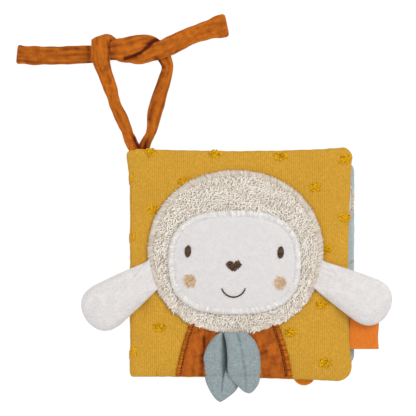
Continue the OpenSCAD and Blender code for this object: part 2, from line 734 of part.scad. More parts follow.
module ear(root, turn) {
  c = root + 0.58 * ear_l * [cos(turn), sin(turn)];
  low = function (x, y, s)
    let (t = ear_at(x, y, root, turn).x, heel = clamp01(1 - t / 10))
    max(cover_z(x, y) + seat, ear_mid - 0.3 - 1.6 * sqrt(1 - s * s) - 2.4 * heel);
  high = function (x, y, s)
    let (t = ear_at(x, y, root, turn).x, flat = 0.55 + 0.45 * clamp01(t / 14))
    max(low(x, y, s) + 0.6, ear_mid + 0.3 + ear_puff * flat * pow(1 - pow(s, 2.2), 0.6));
  color("#e0dbd8")
    pad(ear_outline(root, turn), c, [1, 0.85, 0.45], [1, 0.95, 0.82, 0.6, 0.3], low, high);
}

module ear_left() {
  ear(ear_left_root, ear_left_turn);
}

module ear_right() {
  ear(ear_right_root, ear_right_turn);
}

// Shirt: from the head's lower edge to the cover's bottom seam, with standing creases.

function head_below(x) =
  head.y - (fleece_h / 2 + seat) * pow(max(0, 1 - pow(abs(x - head.x) / (fleece_w / 2 + seat), 2.1)), 1 / 2.1);
function hem_y(x) =
  let (u = (x - panel_x) / (panel_w / 2))
  -book_h / 2 * (1 - 2 * edge_pinch / book_h * (1 - u * u)) + seat;
// Pleats fan out a little towards the hem.
function pleat(x, y, at) =
  let (d = (x - at * (1 - 0.003 * (y + book_h / 2))) / 2.2)
  max(0, 1 - abs(d));
function crease(x, y) = shirt_crease * max([for (p = shirt_pleats) pleat(x, y, p)]);
function shirt_top(x, y) = cover_z(x, y) + seat + shirt_t + crease(x, y);

module shirt() {
  cols = 20;
  rows = [0, 0.25, 0.48, 0.66, 0.8, 0.9, 0.96, 1];
  grid = [
    for (r = rows)
      [
        for (k = [0:cols])
          let (
            f = k / cols - 0.5,
            x0 = shirt_top_x + shirt_top_w * f,
            x1 = shirt_hem_x + shirt_hem_w * f,
            y0 = head_below(x0) - 0.15
          )
          [x0 + (x1 - x0) * r, y0 + (hem_y(x1) - y0) * r]
      ]
  ];
  color("#af5c22")
    patch(
      grid,
      function (x, y, i, k) cover_z(x, y) + seat,
      function (x, y, i, k) shirt_top(x, y)
    );
}

// Scarf ends: folded leaves from under the chin that hang past the bottom seam.

function leaf_half(f, w, root_share, full_at) =
  let (
    grow = root_share + (1 - root_share) * sin(90 * min(1, f / full_at)),
    past = clamp01((f - 0.55) / 0.45)
  )
  w / 2 * grow * sqrt(max(0.004, 1 - pow(past, 1.6)));
function leaf_grid(root, tip, w, root_share, full_at) =
  let (
    d = unit(tip - root),
    n = [-d.y, d.x],
    shares = [-1, -0.84, -0.5, -0.16, 0, 0.16, 0.5, 0.84, 1]
  )
  [
    for (i = [0:10])
      let (f = 1 - pow(1 - i / 10, 1.3), half = leaf_half(f, w, root_share, full_at))
      [for (u = shares) clear_of_head(root + norm(tip - root) * f * d + half * u * n)]
  ];
function droop(y) = max(0, hem_y(0) - y) * 0.22;
function scarf_base(x, y) =
  y > hem_y(0) + 1 ? shirt_top(x, y) + seat : shirt_top(x, hem_y(0) + 1) + seat - droop(y);
function leaf_body(k, crease) = sin(180 * k / 8) * 0.45 + 0.55 - (k == 4 ? crease : 0);

// The right leaf lies over the left one and comes down beside it.
function scarf_step(x) = (scarf_t + seat) * clamp01(1 - (x - 1) / 6);

module scarf_leaf_left() {
  root = [-9.9, neck_y - 3.2];
  tip = root + [-0.5, -leaf_l];
  color("#919c9d")
    patch(
      leaf_grid(root, tip, leaf_w, 0.25, 0.34),
      function (x, y, i, k) scarf_base(x, y),
      function (x, y, i, k) scarf_base(x, y) + scarf_t * leaf_body(k, i < 8 ? 0.7 : 0.4)
    );
}

module scarf_leaf_right() {
  root = [-1.9, neck_y - 3.8];
  tip = root + [6.9, 5.4 - leaf_l];
  color("#97a2a3")
    patch(
      leaf_grid(root, tip, leaf_w, 0.78, 0.4),
      function (x, y, i, k) scarf_base(x, y) + scarf_step(x),
      function (x, y, i, k) scarf_base(x, y) + scarf_step(x) + scarf_t * leaf_body(k, 0.3)
    );
}

// Ribbon folded into a flat loop and caught in the fore edge seam.

module label() {
  edge_x = drawn_in([panel_r, label_y]).x + seat;
  half = label_ply * 1.4;
  color("#db7b2d")
    translate([edge_x, label_y + label_w / 2, front_seam])
      rotate([90, 0, 0])
        linear_extrude(label_w)
          difference() {
            union() {
              translate([0, -half])
                square([label_l - half, 2 * half]);
              translate([label_l - half, 0])
                circle(r = half, $fn = 32);
            }
            translate([label_ply, -half + label_ply])
              square([label_l - half - label_ply, 2 * (half - label_ply)]);
            translate([label_l - half, 0])
              circle(r = half - label_ply, $fn = 32);
          }
}

back_cover();
back_lining();
pages();
page_cloud();
page_tab();
tie_left();
tie_right();
spine();
spine_lining();
spine_tufts();
front_cover();
front_lining();
cover_tufts();
fleece();
fleece_border();
face();
face_border();
eye_left();
eye_right();
nose();
mouth();
cheek_left();
cheek_right();
ear_left();
ear_right();
shirt();
scarf_leaf_left();
scarf_leaf_right();
label();
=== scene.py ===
import math
import bmesh
import bpy
import numpy as np
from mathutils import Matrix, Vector


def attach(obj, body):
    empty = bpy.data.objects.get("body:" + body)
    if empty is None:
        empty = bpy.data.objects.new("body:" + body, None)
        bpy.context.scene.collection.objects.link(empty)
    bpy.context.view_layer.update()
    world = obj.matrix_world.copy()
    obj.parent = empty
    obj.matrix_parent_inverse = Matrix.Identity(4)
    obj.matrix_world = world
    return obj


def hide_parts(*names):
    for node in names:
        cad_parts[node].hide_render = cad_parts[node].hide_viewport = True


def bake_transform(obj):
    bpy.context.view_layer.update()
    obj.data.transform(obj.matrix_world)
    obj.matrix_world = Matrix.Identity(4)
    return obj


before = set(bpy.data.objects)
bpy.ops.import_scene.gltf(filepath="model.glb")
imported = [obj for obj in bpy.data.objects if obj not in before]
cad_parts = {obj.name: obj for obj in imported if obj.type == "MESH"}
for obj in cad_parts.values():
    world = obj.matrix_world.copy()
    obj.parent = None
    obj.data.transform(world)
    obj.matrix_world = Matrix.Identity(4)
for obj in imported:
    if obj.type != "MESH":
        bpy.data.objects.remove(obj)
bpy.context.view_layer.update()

print("frame loaded:", len(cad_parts), "nodes")

mm = 0.001  # everything below is measured in millimetres and scaled when a mesh is made

# camera straight above the middle of the picture
cameraSet = {"place": (-17.0, 30.0, 1600.0), "lens": 252.0}
cameraData = bpy.data.cameras.new("cameraAbove")
cameraData.lens = cameraSet["lens"]
cameraData.clip_end = 10.0
camera = bpy.data.objects.new("cameraAbove", cameraData)
camera.location = [v * mm for v in cameraSet["place"]]
bpy.context.scene.collection.objects.link(camera)
bpy.context.scene.camera = camera


# shapes shared by the pieces
book = {
    "left": -57.5, "right": 60.0, "height": 123.0, "pinch": 1.2,
    "corners": (2.5, 6.0), "hemCorner": 9.0,  # radii at the fold and fore edge, and of the front's lower one
    "backSeam": 4.0, "frontSeam": 25.0, "edge": 0.8, "puff": 4.5, "backPuff": 4.0, "seat": 0.25,
}
coverMiddle = (book["left"] + book["right"]) / 2
coverHalf = (book["right"] - book["left"]) / 2
coverCentre = np.array([coverMiddle, 0.0])
head = {
    "middle": (-2.2, 6.2), "half": (47.2, 44.0), "power": 2.1,
    "border": 2.8, "rim": 1.4, "rise": 2.2,
}
faceOval = {
    "middle": (-2.7, 0.7), "half": (35.5, 28.0), "power": 2.65,
    "border": 2.4, "lift": 1.15, "rise": 1.2,
}


def pillow(u, v, power):
    return np.sqrt(np.maximum(0, 1 - np.abs(u) ** power)) * np.sqrt(np.maximum(0, 1 - np.abs(v) ** power))


def alongCover(x):
    # -1 at the fold, 1 at the fore edge
    return (x - coverMiddle) / coverHalf


def drawnHeight(u):
    # share of its height that a cover keeps where the stuffing draws its long edges in
    return 1 - 2 * book["pinch"] / book["height"] * (1 - u * u)


def coverFill(x, y, power):
    v = 2 * y / book["height"]
    drawn = np.where(x > coverMiddle, book["pinch"] * (1 - v * v), 0)
    kept = drawnHeight(np.minimum(1, np.abs(x - coverMiddle) / coverHalf))
    return pillow((x - coverMiddle) / (coverHalf - drawn), 2 * y / (book["height"] * kept), power)


def coverZ(x, y):
    return book["frontSeam"] + book["edge"] + book["puff"] * coverFill(x, y, 4)


def ovalReach(x, y, oval, grow=0.0):
    cx, cy = oval["middle"]
    a, b = oval["half"][0] + grow, oval["half"][1] + grow
    p = oval["power"]
    return (np.abs((x - cx) / a) ** p + np.abs((y - cy) / b) ** p) ** (1 / p)


def fleeceTop(x, y):
    s = np.minimum(1, ovalReach(x, y, head, -head["border"]))
    return coverZ(x, y) + book["seat"] + head["rim"] + head["rise"] * np.sqrt(1 - s * s)


def faceTop(x, y):
    s = np.minimum(1, ovalReach(x, y, faceOval, -faceOval["border"]))
    return fleeceTop(x, y) + faceOval["lift"] + faceOval["rise"] * np.sqrt(1 - s * s)


def ripple(x, y, size, seed, waves=9):
    # smooth wandering height between about -1 and 1, bumps roughly size apart
    rng = np.random.RandomState(seed)
    total = np.zeros_like(np.asarray(x, float) + np.asarray(y, float))
    for _ in range(waves):
        turn = rng.uniform(0, 2 * np.pi)
        pace = 2 * np.pi / (size * rng.uniform(0.7, 1.7))
        total += np.sin((x * np.cos(turn) + y * np.sin(turn)) * pace + rng.uniform(0, 2 * np.pi))
    return total / (waves ** 0.5 * 1.1)


def ovalLine(oval, count, grow=0.0):
    # evenly spaced points round an oval, anticlockwise
    t = np.linspace(0, 2 * np.pi, 2400, endpoint=False)
    p = oval["power"]
    x = oval["middle"][0] + (oval["half"][0] + grow) * np.sign(np.cos(t)) * np.abs(np.cos(t)) ** (2 / p)
    y = oval["middle"][1] + (oval["half"][1] + grow) * np.sign(np.sin(t)) * np.abs(np.sin(t)) ** (2 / p)
    return evenly(np.stack([x, y], 1), count, closed=True)


def runAlong(pts):
    # distance from the first point to each one
    return np.concatenate([[0], np.cumsum(np.linalg.norm(np.diff(pts, axis=0), axis=1))])


def evenly(points, count, closed=False):
    pts = np.asarray(points, float)
    if closed:
        pts = np.vstack([pts, pts[:1]])
    run = runAlong(pts)
    want = np.linspace(0, run[-1], count, endpoint=not closed)
    return np.stack([np.interp(want, run, pts[:, k]) for k in range(pts.shape[1])], 1)


def smoothLine(points, count):
    # Catmull-Rom through the points, then evenly spaced
    p = np.asarray(points, float)
    p = np.vstack([2 * p[0] - p[1], p, 2 * p[-1] - p[-2]])
    out = []
    for i in range(1, len(p) - 2):
        for t in np.linspace(0, 1, 12, endpoint=False):
            a, b, c, d = p[i - 1], p[i], p[i + 1], p[i + 2]
            out.append(0.5 * (2 * b + (c - a) * t + (2 * a - 5 * b + 4 * c - d) * t * t
                              + (3 * b - a - 3 * c + d) * t ** 3))
    out.append(p[-2])
    return evenly(out, count)


def panelLine(left, right, height, cornerLeft, cornerRight, count, cornerLow=None):
    def arc(cx, cy, r, a0):
        a = np.radians(np.linspace(a0, a0 + 90, 14))
        return np.stack([cx + r * np.cos(a), cy + r * np.sin(a)], 1)
    h = height / 2
    cornerLow = cornerLow or cornerRight
    line = np.vstack([
        arc(right - cornerRight, h - cornerRight, cornerRight, 0),
        arc(left + cornerLeft, h - cornerLeft, cornerLeft, 90),
        arc(left + cornerLeft, -h + cornerLeft, cornerLeft, 180),
        arc(right - cornerLow, -h + cornerLow, cornerLow, 270),
    ])
    return evenly(line, count, closed=True)


def drawnIn(line):
    # the stuffing draws the free edges in between the corners
    u = alongCover(line[:, 0])
    v = 2 * line[:, 1] / book["height"]
    x = line[:, 0] - book["pinch"] * (1 - v * v) * np.maximum(0, u)
    return np.stack([x, line[:, 1] * drawnHeight(u)], 1)


def coverLine(count, insets=(0, 0, 0), lowCorner=None):
    # outline of a cover, or of a panel set in from its fold, its fore edge and its height
    return panelLine(book["left"] + insets[0], book["right"] - insets[1], book["height"] - insets[2],
                     *book["corners"], count, lowCorner)


# how far the finished front cover is tugged out of its sewn outline
tugs = {
    "rise": 0.4, "cornerRise": 1.2, "outAbove": 1.4, "outBelow": 1.7,
    "hang": 1.35, "hangFore": 1.4, "hangBow": 0.4,
}


def hemDrop(x):
    # the lower edge hangs a little, most of all towards the fore edge
    u = alongCover(x)
    return tugs["hang"] + tugs["hangFore"] * u - tugs["hangBow"] * u * u


def cornersOut(x, y):
    # the fore-edge corners are tugged outwards and the lower edge hangs
    v = 2 * y / book["height"]
    end = np.abs(v) ** 3
    fore = np.maximum(0, alongCover(x)) ** 3
    out = np.where(v > 0, tugs["outAbove"] * end, tugs["outBelow"] * np.abs(v) ** 5)
    rise = np.where(v > 0, tugs["rise"] + tugs["cornerRise"] * fore * end, -hemDrop(x))
    return x + fore * out, y + rise * end


def pulledBack(x, y):
    # where a place on the finished cover was before its corners were tugged
    px, py = cornersOut(x, y)
    return 2 * x - px, 2 * y - py


def makePiece(name, points, faces, body, finish, tint=None):
    # a piece that is given no body is blended across a fold by its maker
    mesh = bpy.data.meshes.new(name)
    mesh.from_pydata((np.asarray(points, float) * mm).tolist(), [], faces)
    mesh.update()
    bm = bmesh.new()
    bm.from_mesh(mesh)
    bmesh.ops.recalc_face_normals(bm, faces=bm.faces)
    bm.to_mesh(mesh)
    bm.free()
    mesh.polygons.foreach_set("use_smooth", [True] * len(mesh.polygons))
    if tint is not None:
        layer = mesh.attributes.new("tint", "FLOAT", "POINT")
        layer.data.foreach_set("value", np.asarray(tint, float).ravel())
    mesh.materials.append(finish)
    piece = bpy.data.objects.new(name, mesh)
    bpy.context.scene.collection.objects.link(piece)
    if body is not None:
        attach(piece, body)
    return piece


def ringFaces(rings, count, closeEnds=True):
    faces = []
    for k in range(rings - 1):
        a = k * count
        for i in range(count):
            j = (i + 1) % count
            faces.append((a + i, a + j, a + count + j, a + count + i))
    if closeEnds:
        low, high = rings * count, rings * count + 1
        last = (rings - 1) * count
        for i in range(count):
            j = (i + 1) % count
            faces.append((low, j, i))
            faces.append((high, last + i, last + j))
    return faces


def makePad(name, line, middle, lowShares, highShares, low, high, body, finish, edge=None, bend=None):
    # rings go from the middle of the underside, round the rim, to the middle of the top
    n = len(line)
    mid = np.asarray(middle, float)
    rings = []
    for share in lowShares[::-1]:
        q = mid + (line - mid) * share
        rings.append(np.column_stack([q, low(q[:, 0], q[:, 1], share)]))
    if edge is not None:
        rings += edge(line, mid)
    for share in highShares:
        q = mid + (line - mid) * share
        rings.append(np.column_stack([q, high(q[:, 0], q[:, 1], share)]))
    points = np.vstack(rings)
    m = mid.reshape(1, 2)
    caps = np.array([
        [mid[0], mid[1], low(m[:, 0], m[:, 1], 0.0)[0]],
        [mid[0], mid[1], high(m[:, 0], m[:, 1], 0.0)[0]],
    ])
    allPoints = np.vstack([points, caps])
    if bend is not None:
        allPoints[:, 0], allPoints[:, 1] = bend(allPoints[:, 0], allPoints[:, 1])
    return makePiece(name, allPoints, ringFaces(len(rings), n), body, finish)


def gridFaces(rows, cols, start=0, flip=False):
    faces = []
    for i in range(rows - 1):
        for k in range(cols - 1):
            a = start + i * cols + k
            q = (a, a + 1, a + cols + 1, a + cols)
            faces.append(q[::-1] if flip else q)
    return faces


def makeCloth(name, top, base, body, finish, tint=None):
    # closed cloth from two grids of points, rows by columns
    rows, cols = top.shape[:2]
    o = rows * cols
    faces = gridFaces(rows, cols) + gridFaces(rows, cols, o, True)
    rim = list(range(cols)) + [i * cols + cols - 1 for i in range(1, rows)]
    rim += [(rows - 1) * cols + k for k in range(cols - 2, -1, -1)]
    rim += [i * cols for i in range(rows - 2, 0, -1)]
    for i, p in enumerate(rim):
        q = rim[(i + 1) % len(rim)]
        faces.append((p, o + p, o + q, q))
    points = np.vstack([top.reshape(-1, 3), base.reshape(-1, 3)])
    shades = None if tint is None else np.tile(np.ravel(tint), 2)
    return makePiece(name, points, faces, body, finish, shades)


def strandParts(paths, radius, sides=5):
    # paths are strands by points by 3; the radius is one number, or one for each strand
    paths = np.asarray(paths, float)
    m, k = paths.shape[:2]
    radius = np.asarray(radius, float)
    if radius.ndim == 1:
        radius = radius[:, None]
    radius = np.broadcast_to(radius, (m, k))
    ahead = np.gradient(paths, axis=1)
    ahead /= np.maximum(1e-9, np.linalg.norm(ahead, axis=2, keepdims=True))
    # the rings are measured from straight up, or from the right where a strand itself stands up
    up = np.zeros((m, 1, 3)) + [0.02, 0.03, 1.0]
    whole = paths[:, -1] - paths[:, 0]
    upright = np.abs(whole[:, 2]) > 0.85 * np.maximum(np.linalg.norm(whole, axis=1), 1e-6)
    up[upright] = [1.0, 0.05, 0.02]
    side = np.cross(ahead, np.broadcast_to(up, ahead.shape))
    side /= np.maximum(1e-9, np.linalg.norm(side, axis=2, keepdims=True))
    over = np.cross(side, ahead)
    turn = np.linspace(0, 2 * np.pi, sides, endpoint=False)[None, None, :, None]
    ring = np.cos(turn) * side[:, :, None, :] + np.sin(turn) * over[:, :, None, :]
    points = paths[:, :, None, :] + ring * radius[:, :, None, None]
    first = (np.arange(m) * k * sides)[:, None]
    start = first[:, :, None] + (np.arange(k - 1) * sides)[None, :, None]
    j = np.arange(sides)[None, None, :]
    after = (j + 1) % sides
    quads = np.stack([start + j, start + after, start + sides + after, start + sides + j], -1)
    ends = np.concatenate([
        first + np.arange(sides)[None, ::-1],
        first + (k - 1) * sides + np.arange(sides)[None, :],
    ])
    faces = [tuple(f) for f in quads.reshape(-1, 4).tolist()] + [tuple(f) for f in ends.tolist()]
    return points.reshape(-1, 3), faces, k * sides


def makeStrands(name, paths, radius, body, finish, tint=None, sides=5):
    points, faces, each = strandParts(paths, radius, sides)
    shades = None
    if tint is not None:
        # one shade for each strand, or one for each ring along it
        shades = np.repeat(np.asarray(tint, float), each if np.ndim(tint) == 1 else sides)
    return makePiece(name, points, faces, body, finish, shades)


# finishes
def newFinish(name, roughness, sheen=0.0, sheenRoughness=0.5, sheenTint=(1, 1, 1)):
    finish = bpy.data.materials.new(name)
    finish.use_nodes = True
    shader = finish.node_tree.nodes["Principled BSDF"]
    shader.inputs["Roughness"].default_value = roughness
    shader.inputs["Specular IOR Level"].default_value = 0.12
    shader.inputs["Sheen Weight"].default_value = sheen
    shader.inputs["Sheen Roughness"].default_value = sheenRoughness
    shader.inputs["Sheen Tint"].default_value = (*sheenTint, 1)
    return finish, finish.node_tree, shader


def noiseOf(tree, size, detail=3.0, roughness=0.55, stretch=(1, 1, 1)):
    # grain about size millimetres across, in the piece's own coordinates
    place = tree.nodes.new("ShaderNodeTexCoord")
    scale = tree.nodes.new("ShaderNodeMapping")
    scale.inputs["Scale"].default_value = stretch
    grain = tree.nodes.new("ShaderNodeTexNoise")
    grain.inputs["Scale"].default_value = 1000.0 / size
    grain.inputs["Detail"].default_value = detail
    grain.inputs["Roughness"].default_value = roughness
    tree.links.new(place.outputs["Object"], scale.inputs["Vector"])
    tree.links.new(scale.outputs["Vector"], grain.inputs["Vector"])
    return grain.outputs["Fac"]


def ribsOf(tree, pitch, axis="X", waver=1.0):
    place = tree.nodes.new("ShaderNodeTexCoord")
    ribs = tree.nodes.new("ShaderNodeTexWave")
    ribs.bands_direction = axis
    ribs.inputs["Scale"].default_value = 2 * math.pi / (20 * pitch * mm)
    ribs.inputs["Distortion"].default_value = waver
    ribs.inputs["Detail"].default_value = 2.0
    ribs.inputs["Detail Scale"].default_value = 0.4
    tree.links.new(place.outputs["Object"], ribs.inputs["Vector"])
    return ribs.outputs["Fac"]


def spread(tree, source, low, high):
    fit = tree.nodes.new("ShaderNodeMapRange")
    fit.inputs["From Min"].default_value = low
    fit.inputs["From Max"].default_value = high
    tree.links.new(source, fit.inputs["Value"])
    return fit.outputs["Result"]


def colourMix(tree, share, first, second):
    mix = tree.nodes.new("ShaderNodeMix")
    mix.data_type = "RGBA"
    for socket, colour in ((mix.inputs[6], first), (mix.inputs[7], second)):  # the colour sockets
        if hasattr(colour, "is_linked"):
            tree.links.new(colour, socket)
        else:
            socket.default_value = (*colour, 1)
    tree.links.new(share, mix.inputs[0])
    return mix.outputs[2]


def addHeights(tree, parts):
    total = None
    for source, weight in parts:
        times = tree.nodes.new("ShaderNodeMath")
        times.operation = "MULTIPLY"
        times.inputs[1].default_value = weight
        tree.links.new(source, times.inputs[0])
        if total is None:
            total = times.outputs[0]
        else:
            plus = tree.nodes.new("ShaderNodeMath")
            plus.operation = "ADD"
            tree.links.new(total, plus.inputs[0])
            tree.links.new(times.outputs[0], plus.inputs[1])
            total = plus.outputs[0]
    return total


def addBump(tree, shader, parts, depth):
    bump = tree.nodes.new("ShaderNodeBump")
    bump.inputs["Distance"].default_value = depth * mm
    bump.inputs["Strength"].default_value = 1.0
    tree.links.new(addHeights(tree, parts), bump.inputs["Height"])
    tree.links.new(bump.outputs["Normal"], shader.inputs["Normal"])


def shade(colour, k):
    return tuple(min(1.0, c * k) for c in colour)


def tintOf(tree):
    layer = tree.nodes.new("ShaderNodeAttribute")
    layer.attribute_name = "tint"
    return layer.outputs["Fac"]


def jerseyFinish(name, colour):
    # knitted columns crossed by fine courses, with a little heather in the yarn
    finish, tree, shader = newFinish(name, 0.9, sheen=0.1, sheenTint=(1, 0.8, 0.4))
    columns = ribsOf(tree, 1.12, "X", 1.6)
    rows = ribsOf(tree, 0.86, "Y", 1.4)
    heather = spread(tree, noiseOf(tree, 1.0, 4, 0.7, (1, 0.8, 1)), 0.36, 0.64)
    broad = spread(tree, noiseOf(tree, 26, 3, 0.5), 0.3, 0.7)
    ground = colourMix(tree, broad, shade(colour, 1.01), shade(colour, 1.15))
    ground = colourMix(tree, addHeights(tree, [(heather, 0.85)]), ground, shade(colour, 0.7))
    ground = colourMix(tree, addHeights(tree, [(columns, 0.42)]), ground, shade(colour, 1.3))
    tree.links.new(ground, shader.inputs["Base Color"])
    addBump(tree, shader, [(columns, 0.6), (rows, 0.14), (heather, 0.8)], 0.16)
    return finish


def velourFinish(name, colour, pile=0.9, dark=0.86, sheen=0.3, lining=None):
    # short brushed pile with soft patches where it leans another way
    finish, tree, shader = newFinish(name, 0.95, sheen=sheen, sheenRoughness=0.4)
    nap = spread(tree, noiseOf(tree, pile, 3, 0.65), 0.33, 0.67)
    lean = spread(tree, noiseOf(tree, pile * 4.5, 3, 0.6), 0.35, 0.65)
    if dark < 0.8:
        # a deep pile is shaded by its grain alone
        ground = colourMix(tree, addHeights(tree, [(nap, 0.75)]), shade(colour, 1.06), shade(colour, dark))
    else:
        ground = colourMix(tree, lean, shade(colour, (1 + dark) / 2), shade(colour, 1.04))
        ground = colourMix(tree, addHeights(tree, [(nap, 0.6)]), ground, shade(colour, dark))
    # lining is a colour painted into a slit as its shade, drawn in where the tint is low
    if lining is not None:
        ground = colourMix(tree, tintOf(tree), lining, ground)
    tree.links.new(ground, shader.inputs["Base Color"])
    addBump(tree, shader, [(nap, 1.0), (lean, 0.9)], 0.26)
    return finish


def muslinFinish(name, colour, dark=None):
    # loose plain weave, crinkled; dark is the colour its tint draws it towards: painted shade in its creases
    # and folds, with some random blots, where it has any
    finish, tree, shader = newFinish(name, 0.9, sheen=0.12, sheenTint=(1, 0.55, 0.2))
    warp = ribsOf(tree, 0.7, "X", 2.5)
    weft = ribsOf(tree, 0.7, "Y", 2.5)
    crinkle = spread(tree, noiseOf(tree, 2.4, 4, 0.6, (1, 0.5, 1)), 0.32, 0.68)
    slub = spread(tree, noiseOf(tree, 0.9, 3, 0.7), 0.32, 0.68)
    broad = spread(tree, noiseOf(tree, 12, 2, 0.5), 0.3, 0.7)
    ground = colourMix(tree, crinkle, shade(colour, 0.78), shade(colour, 1.18))
    ground = colourMix(tree, addHeights(tree, [(broad, 0.25)]), ground, shade(colour, 0.75))
    ground = colourMix(tree, addHeights(tree, [(slub, 0.5)]), ground, shade(colour, 1.35))
    if dark is not None:
        ground = colourMix(tree, tintOf(tree), dark, ground)
    tree.links.new(ground, shader.inputs["Base Color"])
    addBump(tree, shader, [(crinkle, 1.0), (warp, 0.25), (weft, 0.25), (slub, 0.35)], 0.28)
    return finish


def threadFinish(name, light, dark, roughness=0.6, sheen=0.2, spun=0.35):
    # spun thread whose shade changes from strand to strand
    finish, tree, shader = newFinish(name, roughness, sheen=sheen)
    fibre = spread(tree, noiseOf(tree, 0.35, 3, 0.7), 0.3, 0.7)
    ground = colourMix(tree, tintOf(tree), dark, light)
    ground = colourMix(tree, addHeights(tree, [(fibre, spun)]), ground, dark)
    tree.links.new(ground, shader.inputs["Base Color"])
    addBump(tree, shader, [(fibre, 1.0)], 0.08)
    return finish


def ribbonFinish(name, colour):
    finish, tree, shader = newFinish(name, 0.5, sheen=0.3)
    cross = ribsOf(tree, 0.45, "Y", 0.4)
    grain = spread(tree, noiseOf(tree, 1.2, 3, 0.6, (1, 0.3, 1)), 0.3, 0.7)
    ground = colourMix(tree, grain, shade(colour, 0.9), shade(colour, 1.08))
    ground = colourMix(tree, addHeights(tree, [(cross, 0.25)]), ground, shade(colour, 0.75))
    tree.links.new(ground, shader.inputs["Base Color"])
    addBump(tree, shader, [(cross, 1.0), (grain, 0.4)], 0.08)
    return finish


mustard = (0.6, 0.316, 0.034)
orange = (0.46, 0.113, 0.011)
scarfGrey = (0.345, 0.412, 0.422)
finishes = {
    "jersey": jerseyFinish("mustardJersey", mustard),
    "tuft": threadFinish("tuftYarn", (0.98, 0.57, 0.008), (0.5, 0.23, 0.002), 0.9, 0.0),
    "lining": velourFinish("greyLining", (0.44, 0.5, 0.51), 0.9, 0.85),
    "page": velourFinish("bluePage", (0.5, 0.59, 0.61), 0.9, 0.84),
    "cream": velourFinish("creamPatch", (0.78, 0.76, 0.67), 0.9, 0.88),
    "face": velourFinish("whiteVelour", (0.775, 0.745, 0.74), 0.8, 0.95, 0.2),
    "ear": velourFinish("earVelour", (0.81, 0.775, 0.765), 1.0, 0.86, 0.25),
    # the scarf's last colour is painted shade, laid into the slit of its left leaf
    "scarf": velourFinish("scarfVelour", scarfGrey, 1.0, 0.62, 0.3, (0.045, 0.058, 0.062)),
    # the fleece ground is the real backing cloth, coloured darker than the loops as painted shade in the gaps
    # between them
    "fleeceGround": velourFinish("fleeceGround", (0.62, 0.5, 0.37), 0.9, 0.82),
    "fleeceLoop": threadFinish("fleeceLoop", (1.0, 0.955, 0.88), (0.5, 0.37, 0.25), 0.9, 0.2, 0.12),
    "creamThread": threadFinish("creamThread", (0.93, 0.855, 0.76), (0.54, 0.45, 0.36), 0.6),
    "whiteThread": threadFinish("whiteThread", (1.0, 0.98, 0.96), (0.72, 0.68, 0.65), 0.5),
    "brownThread": threadFinish("brownThread", (0.2, 0.125, 0.07), (0.03, 0.015, 0.007), 0.6, 0.0),
    "peachThread": threadFinish("peachThread", (1.0, 0.78, 0.34), (0.74, 0.3, 0.02), 0.6, 0.0),
    # the dark colours of the shirt and tie muslins are painted shade for their folds and creases
    "muslin": muslinFinish("orangeMuslin", orange, (0.13, 0.016, 0.003)),
    "tieMuslin": muslinFinish("tieMuslin", (0.53, 0.138, 0.0095), (0.11, 0.01, 0.003)),
    # the tab's muslin is a brighter copy of the orange muslin: painted light for a tab that sits in shade
    "tabMuslinLit": muslinFinish("tabMuslinLit", (0.75, 0.205, 0.014)),
    "orangeThread": threadFinish("orangeThread", (0.78, 0.25, 0.012), (0.3, 0.06, 0.004), 0.7, 0.0),
    "seamThread": threadFinish("seamThread", (0.36, 0.085, 0.01), (0.13, 0.022, 0.004), 0.8, 0.0),
    "stitchThread": threadFinish("stitchThread", (0.2, 0.045, 0.008), (0.07, 0.012, 0.004), 0.8, 0.0),
    "ribbon": ribbonFinish("orangeRibbon", (0.76, 0.195, 0.015)),
}
print("finishes made:", len(finishes))


